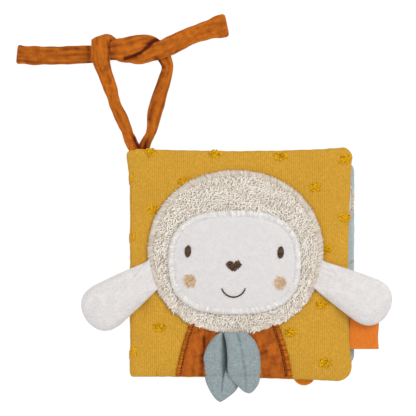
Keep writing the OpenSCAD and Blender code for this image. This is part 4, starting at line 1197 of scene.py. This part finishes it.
def makeFleeceLoops():
    rng = np.random.RandomState(29)
    x, y = fleecePlaces(rng)
    n = len(x)
    t = np.linspace(-1, 1, 6)[None, :]
    lean = (0.95 + 0.5 * ripple(x, y, 20, 12) + 0.5 * rng.standard_normal(n))[:, None]
    half = rng.uniform(*fleeceSet["long"], n)[:, None]
    high = rng.uniform(*fleeceSet["high"], n)[:, None]
    px = x[:, None] + half * t * np.cos(lean) + rng.uniform(-0.4, 0.4, (n, 1)) * np.cos(2.4 * t)
    py = y[:, None] + half * t * np.sin(lean) + rng.uniform(-0.4, 0.4, (n, 1)) * np.cos(2.4 * t + 0.8)
    pz = fleeceSkin(px, py) - 0.05 + high * (1 - t ** 2) ** 0.7
    # each loop is given painted shade towards its ends, where it dips into the ground
    tint = (1.02 + 0.08 * ripple(x, y, 9, 22) + rng.uniform(-0.32, 0.2, n))[:, None] - 0.5 * t ** 2
    yarn = rng.uniform(*fleeceSet["yarn"], n)
    loops = makeStrands("fleeceLoops", np.stack([px, py, pz], 2), yarn, "front_cover", finishes["fleeceLoop"],
                        np.clip(tint, 0, 1))
    print("fleece loops:", n)


makeFleeceGround()
makeFleeceLoops()


# close satin stitches round the fleece and round the face
borders = {
    "fleece": {"width": (3.5, 3.5), "high": 1.45, "stitches": 620, "yarn": 0.3, "lean": 3, "fuzz": 1500,
               "thread": "creamThread", "slot": "cream_thread", "seed": 37},
    "face": {"width": (2.9, 3.5), "high": 1.5, "stitches": 560, "yarn": 0.27, "lean": 2, "fuzz": 1300,
             "thread": "whiteThread", "slot": "white_thread", "seed": 39},
}


def makeBorderCore(name, outer, inner, ground, border):
    # padded core under the stitches
    profile = [(0.04, 0.0), (0.02, 0.45), (0.2, 0.85), (0.5, 1.0), (0.8, 0.85), (0.98, 0.45), (0.96, 0.0)]
    rings = []
    for share, up in profile:
        q = outer + (inner - outer) * share
        rings.append(np.column_stack([q, ground(q[:, 0], q[:, 1]) + 0.05 + up * (border["high"] - 0.25)]))
    n = len(outer)
    last = (len(rings) - 1) * n
    faces = ringFaces(len(rings), n, closeEnds=False)
    faces += [(i, last + i, last + (i + 1) % n, (i + 1) % n) for i in range(n)]
    core = makePiece(name + "Core", np.vstack(rings), faces, "front_cover", finishes[border["thread"]],
                     np.full(len(rings) * n, 0.35))


def makeBorderFuzz(name, a, b, ground, border, rng):
    # loose fibres standing up between the stitches
    n = border["fuzz"]
    where = rng.randint(0, len(a), n)
    across = rng.uniform(-0.05, 1.05, (n, 1))
    spot = a[where] * (1 - across) + b[where] * across
    turn = rng.uniform(0, 2 * np.pi, (n, 1))
    s = np.linspace(-1, 1, 4)[None, :]
    px = spot[:, :1] + 0.55 * s * np.cos(turn)
    py = spot[:, 1:] + 0.55 * s * np.sin(turn)
    arch = np.sin(np.clip(across, 0.05, 0.95) * np.pi) ** 0.6
    pz = ground(px, py) + border["high"] * arch + 0.1 + rng.uniform(0.05, 0.35, (n, 1)) * (1 - s ** 2)
    fibres = makeStrands(name + "Fuzz", np.stack([px, py, pz], 2), 0.14, "front_cover",
                         finishes[border["thread"]], rng.uniform(0.3, 1, n), sides=4)


def makeStitchedRing(name, node, oval, ground, border):
    within = dict(oval, half=(oval["half"][0] - border["width"][0], oval["half"][1] - border["width"][1]))
    makeBorderCore(name, ovalLine(oval, 260), ovalLine(within, 260), ground, border)
    rng = np.random.RandomState(border["seed"])
    count = border["stitches"]
    a = ovalLine(oval, count)
    b = np.roll(ovalLine(within, count), border["lean"], axis=0)
    jag = rng.uniform(-0.38, 0.38, (count, 1))
    away = (a - b) / np.linalg.norm(a - b, axis=1, keepdims=True)
    along = np.column_stack([-away[:, 1], away[:, 0]])
    a = a + away * jag + along * rng.uniform(-0.25, 0.25, (count, 1))
    b = b - away * rng.uniform(-0.35, 0.4, (count, 1)) + along * rng.uniform(-0.25, 0.25, (count, 1))
    share = np.linspace(0, 1, 7)[None, :, None]
    flat = a[:, None, :] * (1 - share) + b[:, None, :] * share
    arch = np.sin(np.linspace(0.06, 0.94, 7) * np.pi) ** 0.6
    wob = rng.uniform(-0.16, 0.16, (count, 1))
    lump = 0.16 * ripple(a[:, 0], a[:, 1], 3.0, border["seed"] + 1)[:, None]
    z = ground(flat[..., 0], flat[..., 1]) + (border["high"] + lump) * arch[None, :] + wob
    piece = makeStrands(name, np.concatenate([flat, z[..., None]], 2), border["yarn"], "front_cover",
                        finishes[border["thread"]], rng.uniform(0, 1, count) ** 0.7)
    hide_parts(node)
    makeBorderFuzz(name, a, b, ground, border, rng)


makeStitchedRing("fleeceBorderStitch", "fleece_border", head, lambda x, y: coverZ(x, y) + 0.1,
                 borders["fleece"])
makeStitchedRing("faceBorderStitch", "face_border", faceOval, lambda x, y: fleeceTop(x, y) - 0.05,
                 borders["face"])


def makeFace():
    oval = dict(faceOval, half=(faceOval["half"][0] - 1.4, faceOval["half"][1] - 1.4))

    def low(x, y, share):
        return fleeceTop(x, y) + 0.1

    def high(x, y, share):
        z = faceTop(x, y) - 0.75 * share ** 6
        return z + 0.1 * ripple(x, y, 18, 13) * (1 - share ** 6) + 0.03 * ripple(x, y, 5, 14)

    piece = makePad("faceVelour", ovalLine(oval, 220), faceOval["middle"], [1.0, 0.6], shares["fine"],
                    low, high, "front_cover", finishes["face"])
    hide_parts("face")


makeFace()


def faceSkin(x, y):
    return faceTop(x, y) + 0.1 * ripple(x, y, 18, 13)


embroidery = {
    "eyes": {"left": (-27.8, 6.7), "right": (22.0, 6.1), "half": (1.65, 3.15), "stitches": 26},
    "nose": {"middle": (-3.1, -1.0), "wide": 8.0, "high": 5.3, "pitch": (0.42, 0.62)},
    "mouth": {"middle": (-3.3, -11.3), "radius": 6.55, "from": 200.0, "to": 341.0, "stitches": 13},
    "cheeks": {"left": (-26.8, -9.2), "right": (21.6, -10.3), "radius": 3.8, "pitch": (0.82, 1.02),
               "shades": [0.0, 0.25, 0.75, 1.0]},
}


def makeEye(name, node, middle, seed):
    e = embroidery["eyes"]
    rng = np.random.RandomState(seed)
    paths, tint = [], []
    t = np.linspace(-1, 1, 6)
    for k in range(e["stitches"]):
        v = -1 + 2 * (k + 0.5) / e["stitches"]
        half = e["half"][0] * math.sqrt(1 - v * v) + rng.uniform(-0.1, 0.15)
        y = middle[1] + v * e["half"][1]
        px = middle[0] + half * t
        py = y + 0.2 * t + rng.uniform(-0.05, 0.05)
        pz = faceSkin(px, py) + 0.08 + 0.5 * (1 - t ** 4) * (1 - 0.4 * v * v)
        paths.append(np.column_stack([px, py, pz]))
        tint.append(rng.uniform(0, 1))
    piece = makeStrands(name, np.array(paths), 0.2, "front_cover", finishes["brownThread"], tint)
    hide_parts(node)


def inNose(x, y):
    # rounded V with two lobes
    n = embroidery["nose"]
    u = (x - n["middle"][0]) / (n["wide"] / 2)
    v = (y - n["middle"][1]) / (n["high"] / 2)
    top = 0.95 - 0.7 * max(0.0, 1 - abs(u) / 0.5) ** 1.2 - max(0, abs(u) - 0.74) * 2.0
    bottom = -1.0 + abs(u) ** 1.6 * 1.3
    return abs(u) < 1 and bottom < v < top


def makeNose():
    n = embroidery["nose"]
    rng = np.random.RandomState(43)
    t = np.linspace(-1, 1, 5)
    paths, tint = [], []
    for ix in np.arange(-4.2, 4.2, n["pitch"][0]):
        for iy in np.arange(-3, 3, n["pitch"][1]):
            x = n["middle"][0] + ix + rng.uniform(-0.12, 0.12)
            y = n["middle"][1] + iy + rng.uniform(-0.15, 0.15)
            if not inNose(x, y):
                continue
            turn = 0.75 if x < n["middle"][0] else 2.35
            px = x + 0.55 * t * math.cos(turn)
            py = y + 0.55 * t * math.sin(turn)
            pz = faceSkin(px, py) + 0.1 + rng.uniform(0.3, 0.55) * (1 - t ** 2)
            paths.append(np.column_stack([px, py, pz]))
            tint.append(rng.uniform(0, 1))
    piece = makeStrands("noseStitch", np.array(paths), 0.26, "front_cover", finishes["brownThread"], tint)
    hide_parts("nose")


def makeMouth():
    m = embroidery["mouth"]
    rng = np.random.RandomState(47)
    ends = np.radians(np.linspace(m["from"], m["to"], m["stitches"] + 1))
    paths, tint = [], []
    t = np.linspace(0, 1, 7)
    for k in range(m["stitches"]):
        for lane in (-0.16, 0.16):
            a = ends[k] - 0.05 + (ends[k + 1] - ends[k] + 0.1) * t
            r = m["radius"] + lane + 0.1 * np.sin(t * 6)
            px = m["middle"][0] + r * np.cos(a)
            py = m["middle"][1] + r * np.sin(a)
            pz = faceSkin(px, py) + 0.05 + 0.3 * np.sin(t * np.pi) ** 0.5
            paths.append(np.column_stack([px, py, pz]))
            tint.append(rng.uniform(0, 0.8))
    piece = makeStrands("mouthStitch", np.array(paths), 0.2, "front_cover", finishes["brownThread"], tint)
    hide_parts("mouth")


def makeCheek(name, node, middle, seed):
    c = embroidery["cheeks"]
    rng = np.random.RandomState(seed)
    t = np.linspace(-1, 1, 5)
    paths, tint = [], []
    for row in range(-4, 5):
        for col in range(-5, 6):
            x = c["pitch"][0] * (col + (row % 2) / 2) + rng.uniform(-0.13, 0.13)
            y = c["pitch"][1] * row + rng.uniform(-0.2, 0.2)
            if math.hypot(x, y * 1.03) > c["radius"] + rng.uniform(-0.3, 0.2):
                continue
            turn = 1.5 + 0.12 * x + rng.uniform(-0.25, 0.25)
            px = middle[0] + x + 0.46 * t * math.cos(turn)
            py = middle[1] + y + 0.46 * t * math.sin(turn)
            pz = faceSkin(px, py) + 0.05 + 0.35 * (1 - t ** 2)
            paths.append(np.column_stack([px, py, pz]))
            tint.append(rng.choice(c["shades"]) + rng.uniform(0, 0.1))
    piece = makeStrands(name, np.array(paths), 0.17, "front_cover", finishes["peachThread"], tint)
    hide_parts(node)


makeEye("eyeLeftStitch", "eye_left", embroidery["eyes"]["left"], 41)
makeEye("eyeRightStitch", "eye_right", embroidery["eyes"]["right"], 42)
makeNose()
makeMouth()
makeCheek("cheekLeftStitch", "cheek_left", embroidery["cheeks"]["left"], 44)
makeCheek("cheekRightStitch", "cheek_right", embroidery["cheeks"]["right"], 45)
print("head made")


# ears: stuffed velour leaves
def earLine(root, turn, full, count):
    # the outline starts under the head, opens towards the middle and closes in a blunt tip
    along = np.concatenate([[-0.1], -0.03 + 1.03 * (1 - (1 - np.linspace(0, 1, 160)) ** 2.0)]) * full
    share = earSet["root"] / earSet["wide"]
    opened = np.clip(along / (0.68 * full), 0, 1)
    grow = share + (1 - share) * opened * (1.25 - 0.25 * opened)
    past = np.clip((along - 0.72 * full) / (0.28 * full), 0, 1)
    half = earSet["wide"] / 2 * grow * np.sqrt(np.maximum(0, 1 - past ** 2.4))
    right = np.column_stack([along, -half])
    left = np.column_stack([along[::-1], half[::-1]])
    line = np.vstack([right, left])
    c, s = math.cos(math.radians(turn)), math.sin(math.radians(turn))
    line = np.column_stack([root[0] + line[:, 0] * c - line[:, 1] * s,
                            root[1] + line[:, 0] * s + line[:, 1] * c])
    line = evenly(line, count, closed=True)
    reach = ovalReach(line[:, 0], line[:, 1], head, -0.9)
    mid = np.array(head["middle"])
    push = np.where(reach < 1, 1 / reach, 1.0)[:, None]
    return mid + (line - mid) * push


def makeEar(name, node, root, turn, full, seed):
    line = earLine(root, turn, full, 260)
    c, s = math.cos(math.radians(turn)), math.sin(math.radians(turn))
    mid = np.array([root[0] + 0.58 * full * c, root[1] + 0.58 * full * s])
    gathers = edgePucker(line, seed)

    def folds(x, y):
        # gathers fan out from where the ear is sewn under the head
        t, n = earAt(x, y, root, turn)
        fan = n / (0.5 + 0.5 * np.clip(t / 20, 0, 1.5))
        return 0.32 * ripple(fan, t * 0.15, 4.2, seed + 1) * np.exp(-np.maximum(t, 0) / 11.0)

    def low(x, y, share):
        t = earAt(x, y, root, turn)[0]
        heel = np.clip(1 - t / 10, 0, 1)
        dip = 1.6 * np.sqrt(np.maximum(0, 1 - share * share))
        return np.maximum(coverZ(x, y) + 0.25, earSet["level"] - 0.3 - dip - 2.4 * heel)

    def high(x, y, share):
        t = earAt(x, y, root, turn)[0]
        flat = 0.55 + 0.45 * np.clip(t / 14, 0, 1)
        z = earSet["level"] + 0.3 + earSet["puff"] * flat * (1 - share ** 2.2) ** 0.6
        z = z + folds(x, y) * (1 - share ** 8) + 0.18 * ripple(x, y, 13, seed + 2) * (1 - share ** 4)
        z = withGathers(z, gathers, share, 0.48, 1.6, 1.0, half=14)
        return np.maximum(z, low(x, y, share) + 0.5)

    piece = makePad(name, line, mid, [1.0, 0.97, 0.9, 0.8, 0.65, 0.45, 0.2], shares["fine"], low, high,
                    "front_cover", finishes["ear"])
    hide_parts(node)


makeEar("earLeftVelour", "ear_left", *earSet["left"], 91)
makeEar("earRightVelour", "ear_right", *earSet["right"], 95)
print("ears made")


# shirt with its overlocked sides
def headBelow(x):
    cx, cy = head["middle"]
    a, b = head["half"][0] + 0.25, head["half"][1] + 0.25
    p = head["power"]
    return cy - b * np.maximum(0, 1 - (np.abs(x - cx) / a) ** p) ** (1 / p)


def hemLine(x):
    return -book["height"] / 2 * drawnHeight(alongCover(x)) + 0.25 - hemDrop(x)


def pleatHeight(x, y):
    z = np.zeros_like(x)
    for at, amount in shirtSet["pleats"]:
        d = x - at * (1 - 0.003 * (y + book["height"] / 2))
        # steep on the left side, long on the right
        ramp = np.where(d < 0, np.exp(-(d / 0.5) ** 2), np.exp(-(d / 3.2) ** 2))
        groove = np.exp(-((d + 0.9) / 0.7) ** 2)
        z = z + amount * (shirtSet["depth"] * ramp - 0.55 * groove)
    return z


def shirtTop(x, y):
    z = coverZ(*pulledBack(x, y)) + 0.25 + shirtSet["thick"] + pleatHeight(x, y)
    return z + 0.16 * ripple(x, y * 0.5, 6, 15) + 0.08 * ripple(x, y, 3, 16)


def shirtGrid(rows, cols):
    f = np.linspace(0, 1, cols)
    top = shirtSide("left", -34.0) * (1 - f) + shirtSide("right", -34.0) * f
    hem = shirtSide("left", -61.0) * (1 - f) + shirtSide("right", -61.0) * f
    y0 = headBelow(top) + 0.5
    r = (1 - (1 - np.linspace(0, 1, rows)) ** 1.3)[:, None]
    y = y0 + (hemLine(hem) - y0) * r
    x = shirtSide("left", y) + (shirtSide("right", y) - shirtSide("left", y)) * f
    return x, y


def shirtShade(x, y):
    # painted shade in the folds, beside the left leaf and under the head, with one lighter band, a darker
    # patch beside the right leaf, and random blots
    deep = shirtSet["underHead"] * np.exp(-((y - headBelow(x)) / 2.0) ** 2)
    for much, at, wide, (low, lowFade), (high, highFade) in shirtSet["shadeStreaks"]:
        within = np.clip((y - low) / lowFade, 0, 1) * np.clip((high - y) / highFade, 0, 1)
        deep = deep + much * np.exp(-((x - at) / wide) ** 2) * within
    much, px, wide, py, long = shirtSet["patch"]
    deep = deep + much * np.exp(-((x - px) / wide) ** 2 - ((y - py) / long) ** 2)
    blots = ripple(x, y * 0.5, 4.5, 25) + 0.7 * ripple(x, y * 0.8, 2.2, 26)
    return np.clip(shirtSet["shade"] + shirtSet["blots"] * blots - deep, 0, 1)


def makeShirt():
    x, y = shirtGrid(60, 170)
    under = coverZ(*pulledBack(x, y))
    top = np.stack([x, y, np.maximum(shirtTop(x, y), under + 0.5)], 2)
    base = np.stack([x, y, under + 0.12], 2)
    # the hem turns down into the bottom seam
    top[-1, :, 2] -= 0.5
    piece = makeCloth("shirtMuslin", top, base, "front_cover", finishes["muslin"], shirtShade(x, y))
    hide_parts("shirt")


# the shirt's sewn sides: overlock, running stitches beside it and the ridge inside them
seams = {
    "left": {"label": "Left", "out": -1, "over": 1.7, "stitchAt": 1.9, "yarn": 0.36, "step": 11,
             "thread": "stitchThread"},
    "right": {"label": "Right", "out": 1, "over": 2.0, "stitchAt": 2.7, "yarn": 0.68, "step": 5,
              "thread": "seamThread"},
    "count": 82, "overlockYarn": 0.23, "ridgeYarn": 0.34, "ridgeIn": 1.1,
}


def sideLine(which, inset, count):
    # line down one side of the shirt, inset towards its middle
    inward = 1 if which == "left" else -1
    top = float(headBelow(np.array([shirtSide(which, -34.0)]))[0])
    low = float(hemLine(np.array([shirtSide(which, -61.0)]))[0]) + 0.3
    y = np.linspace(top, low, count)
    return np.column_stack([shirtSide(which, y) + inward * inset, y])


def makeOverlock(which, seam, rng):
    n = seams["count"]
    a = sideLine(which, -0.1, n)
    b = sideLine(which, seam["over"], n)
    a[:, 0] += seam["out"] * rng.uniform(-0.1, 0.45, n)
    b[:, 1] += rng.uniform(-0.7, -0.2, n)
    share = np.linspace(0, 1, 7)[None, :, None]
    flat = a[:, None, :] * (1 - share) + b[:, None, :] * share
    wob = rng.uniform(-0.12, 0.12, (n, 1))
    z = shirtTop(flat[..., 0], flat[..., 1]) - 0.15 + 0.45 * np.sin(np.linspace(0, np.pi, 7))[None, :] + wob
    z[:, 0] -= 0.8
    edge = makeStrands("shirtOverlock" + seam["label"], np.concatenate([flat, z[..., None]], 2),
                       seams["overlockYarn"], "front_cover", finishes["orangeThread"], rng.uniform(0, 1, n))


def makeSideStitches(which, seam, rng):
    # dark running stitches beside the overlock, close together on the right
    line = sideLine(which, seam["stitchAt"], 200)
    dashes, tint = [], []
    for k in range(0, 190, seam["step"]):
        q = line[k:k + 6]
        z = shirtTop(q[:, 0], q[:, 1]) + 0.02 + 0.2 * np.sin(np.linspace(0, np.pi, len(q)))
        dashes.append(np.column_stack([q, z]))
        tint.append(rng.uniform(0, 1))
    stitch = makeStrands("shirtStitch" + seam["label"], np.array(dashes), seam["yarn"], "front_cover",
                         finishes[seam["thread"]], tint)


def makeSeamRidge(which, seam):
    # soft ridge of the seam allowance inside the stitches
    ridge = sideLine(which, seam["stitchAt"] + seams["ridgeIn"], 60)
    z = shirtTop(ridge[:, 0], ridge[:, 1]) + 0.02
    cord = makeStrands("shirtSeam" + seam["label"], np.column_stack([ridge, z])[None], seams["ridgeYarn"],
                       "front_cover", finishes["muslin"], [0.95], sides=8)


def makeShirtSeams():
    rng = np.random.RandomState(53)
    for which in ("left", "right"):
        makeOverlock(which, seams[which], rng)
        makeSideStitches(which, seams[which], rng)
        makeSeamRidge(which, seams[which])


makeShirt()
makeShirtSeams()
print("shirt made")


# scarf ends: two folded velour leaves
scarfSet = {
    # outlines from the root down to the tip
    "leftLeaf": {
        "one": [(-9.0, -36.2), (-13.2, -38.9), (-16.5, -42.9), (-18.6, -47.2), (-19.4, -51.0),
                (-19.2, -56.4), (-18.4, -62.9), (-16.5, -67.8), (-14.3, -71.5), (-12.2, -74.0),
                (-10.5, -74.9)],
        "other": [(-7.6, -36.2), (-6.6, -40.0), (-5.2, -45.0), (-3.6, -52.1), (-1.9, -60.2), (-0.6, -65.5),
                  (-1.7, -68.3), (-4.0, -70.7), (-7.3, -73.2), (-9.4, -74.6), (-10.5, -74.9)],
    },
    "rightLeaf": {
        "one": [(-7.9, -36.4), (-8.3, -38.1), (-7.2, -42.9), (-6.5, -51.0), (-6.5, -56.4), (-5.7, -60.7),
                (-3.0, -64.0), (-0.3, -66.7), (2.4, -69.2), (5.1, -70.2)],
        "other": [(3.6, -36.4), (6.6, -39.6), (8.6, -42.0), (10.5, -46.7), (11.3, -52.1), (11.3, -59.1),
                  (10.5, -64.5), (8.4, -68.0), (6.8, -69.6), (5.1, -70.2)],
    },
    "opening": [(-37.0, -9.5, -8.2), (-42.9, -9.8, -7.6), (-49.4, -10.1, -6.8), (-54.8, -10.2, -7.1),
                (-58.0, -9.5, -8.0), (-60.2, -9.0, -8.7), (-66.7, -9.5, -9.3), (-70.5, -10.0, -9.9)],
    "crease": [(-37.0, -1.5), (-40.8, -0.3), (-46.7, 1.3), (-52.1, 1.9), (-57.5, 3.0), (-64.0, 3.6)],
    "thick": 2.3,
}


def scarfBase(x, y):
    hem = float(hemLine(np.array([0.0]))[0])
    flat = coverZ(x, np.maximum(y, hem + 1)) + 0.25 + shirtSet["thick"] + 0.35
    return flat - 0.22 * np.maximum(0, hem - y)


def scarfStep(x):
    return 2.45 * np.clip(1 - (x - 1) / 6, 0, 1)


def openingAt(x, y):
    # 1 in the dark slit of the left leaf, fading towards its left side
    o = np.array(scarfSet["opening"])[::-1]
    a = np.interp(y, o[:, 0], o[:, 1])
    b = np.interp(y, o[:, 0], o[:, 2])
    s = np.clip((x - a + 0.5) / (b - a + 0.5), 0, 1)
    above = np.clip((y + 59.5) / 3, 0, 1)
    beyond = np.clip((x - b) / 0.5, 0, 1) * (1 - above)
    return s * s * (3 - 2 * s) * (1 - beyond) * np.clip((y + 71) / 3, 0, 1)


def leafGrid(leaf, rows, cols):
    # rows go down the leaf, columns across it
    one, other = smoothLine(leaf["one"], 400), smoothLine(leaf["other"], 400)
    f = 1 - (1 - np.linspace(0, 1, rows)) ** 1.6
    ends = np.linspace(0, 1, 400)
    a = np.column_stack([np.interp(f, ends, one[:, k]) for k in (0, 1)])
    b = np.column_stack([np.interp(f, ends, other[:, k]) for k in (0, 1)])
    u = np.sin(np.linspace(-np.pi / 2, np.pi / 2, cols))
    g = ((u + 1) / 2)[None, :, None]
    flat = a[:, None, :] * (1 - g) + b[:, None, :] * g
    y = np.minimum(flat[..., 1], headBelow(flat[..., 0]) + 1.2)
    return flat[..., 0], y, np.broadcast_to(u, y.shape), f[:, None]


def creasedLeaf(x, y, body):
    # a soft centre crease, painted a little darker as shade, and a faint fold beside it
    c = np.array(scarfSet["crease"])[::-1]
    off = x - np.interp(y, c[:, 0], c[:, 1])
    lift = scarfSet["thick"] * body - 0.7 * np.exp(-(off / 0.7) ** 2) * np.clip((y + 68) / 6, 0, 1)
    lift = lift + 0.35 * np.exp(-((off + 2.4) / 1.6) ** 2) * body
    return scarfBase(x, y) + scarfStep(x), lift, 1 - 0.25 * np.exp(-(off / 0.6) ** 2)


def openLeaf(x, y, body):
    # the lobe stands up and rolls over a deep slit that narrows to a crease; the slit is painted dark as
    # shade
    slit = openingAt(x, y)
    rim = np.exp(-((x + 12.0) / 2.2) ** 2) * np.clip((y + 66) / 10, 0, 1)
    lift = scarfSet["thick"] * body + 1.1 * rim * body - slit * (2.6 * np.clip((y + 62) / 5, 0, 1) + 0.8)
    return scarfBase(x, y), lift, 1 - slit * np.clip(0.3 + (y + 62) / 12, 0.3, 0.9)


def makeScarfLeaf(name, node, leaf, seed, surface):
    x, y, across, down = leafGrid(leaf, 110, 90)
    body = np.sqrt(np.maximum(0, 1 - across ** 4)) * (0.7 + 0.3 * np.sqrt(np.maximum(0, 1 - down ** 3)))
    ground, lift, tint = surface(x, y, body)
    lift = lift + 0.2 * ripple(x, y, 7, seed) + 0.09 * ripple(x, y, 2.6, seed + 1)
    edge = np.sqrt(np.maximum(0, 1 - across ** 12))
    top = np.stack([x, y, ground + np.maximum(0.12, lift * edge + 0.3 * (1 - edge))], 2)
    base = np.stack([x, y, ground + 0.02], 2)
    piece = makeCloth(name, top, base, "front_cover", finishes["scarf"], tint)
    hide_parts(node)


makeScarfLeaf("scarfLeafLeft", "scarf_leaf_left", scarfSet["leftLeaf"], 101, openLeaf)
makeScarfLeaf("scarfLeafRight", "scarf_leaf_right", scarfSet["rightLeaf"], 103, creasedLeaf)
print("scarf made")


# ribbon label, left bare
labelSet = {
    "y": (-46.25, -29.75), "start": 59.5, "long": 15.8, "half": 1.12, "ply": 0.55, "middle": 25.0,
    "root": 3.0, "sway": 0.25, "sag": 0.18,
}


def labelLoop(reach, start, gap, count):
    # one side of the ribbon's section: from its lower end round the fold to its upper end
    s = labelSet
    fold = s["start"] + s["long"] - s["half"]
    loop = [(fold + reach * math.cos(a), reach * math.sin(a)) for a in np.linspace(-1.57, 1.57, 12)]
    bend = s["start"] + s["root"]
    loop = [(start, -gap), (bend, -reach)] + loop + [(bend, reach), (start, gap)]
    return evenly([(x, s["middle"] + z) for x, z in loop], count)


def selvedge(base, outerCount, innerCount):
    # closes one side edge of the ribbon between its outer and inner line
    faces = []
    last = base + outerCount + innerCount - 1
    for k in range(outerCount - 1):
        i, j = [last - int(round(step * (innerCount - 1) / (outerCount - 1))) for step in (k, k + 1)]
        faces.append((base + k, base + k + 1, j, i) if i != j else (base + k, base + k + 1, i))
    return faces


def makeLabel():
    s = labelSet
    outer = labelLoop(s["half"], s["start"], s["half"] / 2, 70)
    inner = labelLoop(s["half"] - s["ply"], s["start"] + 0.4, 0.1, 60)[::-1]
    section = np.vstack([outer, inner])
    m = len(section)
    wide = (section[:, 0] - s["start"]) / s["long"]
    rings = []
    for y in np.linspace(*s["y"], 40):
        x = section[:, 0] + s["sway"] * wide * math.sin(y * 0.35)
        z = section[:, 1] + s["sag"] * ripple(section[:, 0], y, 9, 19) * wide
        rings.append(np.column_stack([x, np.full(m, y), z]))
    faces = ringFaces(len(rings), m, closeEnds=False)
    for base in (0, (len(rings) - 1) * m):
        faces += selvedge(base, len(outer), len(inner))
    piece = makePiece("ribbonLabel", np.vstack(rings), faces, "front_cover", finishes["ribbon"])
    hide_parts("label")


makeLabel()
print("label made")


# floor, lamps and world
roomSet = {
    "floor": 3.0, "glow": 0.93, "world": 0.6,
    "lamps": {  # place, size and power
        "lampUpperRight": ((0.85, 0.5, 1.3), 0.9, 11.6),
        "lampLeft": ((-1.0, -0.2, 1.4), 1.4, 8.7),
    },
}


def floorFinish():
    # pale and matt for everything but the camera and reflections, which see it nearly white
    finish = bpy.data.materials.new("paleFloor")
    finish.use_nodes = True
    tree = finish.node_tree
    tree.nodes.clear()
    out = tree.nodes.new("ShaderNodeOutputMaterial")
    matt = tree.nodes.new("ShaderNodeBsdfDiffuse")
    matt.inputs["Color"].default_value = (0.9, 0.9, 0.9, 1)
    glow = tree.nodes.new("ShaderNodeEmission")
    glow.inputs["Color"].default_value = (1, 1, 1, 1)
    glow.inputs["Strength"].default_value = roomSet["glow"]
    soft = tree.nodes.new("ShaderNodeBsdfDiffuse")
    soft.inputs["Color"].default_value = (0.12, 0.12, 0.12, 1)
    both = tree.nodes.new("ShaderNodeAddShader")
    tree.links.new(glow.outputs[0], both.inputs[0])
    tree.links.new(soft.outputs[0], both.inputs[1])
    path = tree.nodes.new("ShaderNodeLightPath")
    seen = tree.nodes.new("ShaderNodeMath")
    seen.operation = "MAXIMUM"
    tree.links.new(path.outputs["Is Camera Ray"], seen.inputs[0])
    tree.links.new(path.outputs["Is Glossy Ray"], seen.inputs[1])
    mix = tree.nodes.new("ShaderNodeMixShader")
    tree.links.new(seen.outputs[0], mix.inputs[0])
    tree.links.new(matt.outputs[0], mix.inputs[1])
    tree.links.new(both.outputs[0], mix.inputs[2])
    tree.links.new(mix.outputs[0], out.inputs["Surface"])
    return finish


def makeFloor():
    bpy.ops.mesh.primitive_plane_add(size=roomSet["floor"], location=(0, 0, -0.0002))
    floor = bpy.context.object
    floor.name = "paleFloor"
    floor.data.materials.append(floorFinish())


def makeWorld():
    world = bpy.data.worlds.new("paleRoom")
    world.use_nodes = True
    back = world.node_tree.nodes["Background"]
    back.inputs["Color"].default_value = (1, 1, 1, 1)
    back.inputs["Strength"].default_value = roomSet["world"]
    bpy.context.scene.world = world


def makeLamps():
    for name, (place, size, power) in roomSet["lamps"].items():
        data = bpy.data.lights.new(name, "AREA")
        data.size = size
        data.energy = power
        lamp = bpy.data.objects.new(name, data)
        lamp.location = place
        aim = Vector((0, 0, 0)) - Vector(place)
        lamp.rotation_euler = aim.to_track_quat("-Z", "Y").to_euler()
        bpy.context.scene.collection.objects.link(lamp)


makeFloor()
makeWorld()
makeLamps()
print("room made")
bpy.context.scene.view_settings.view_transform = "Standard"
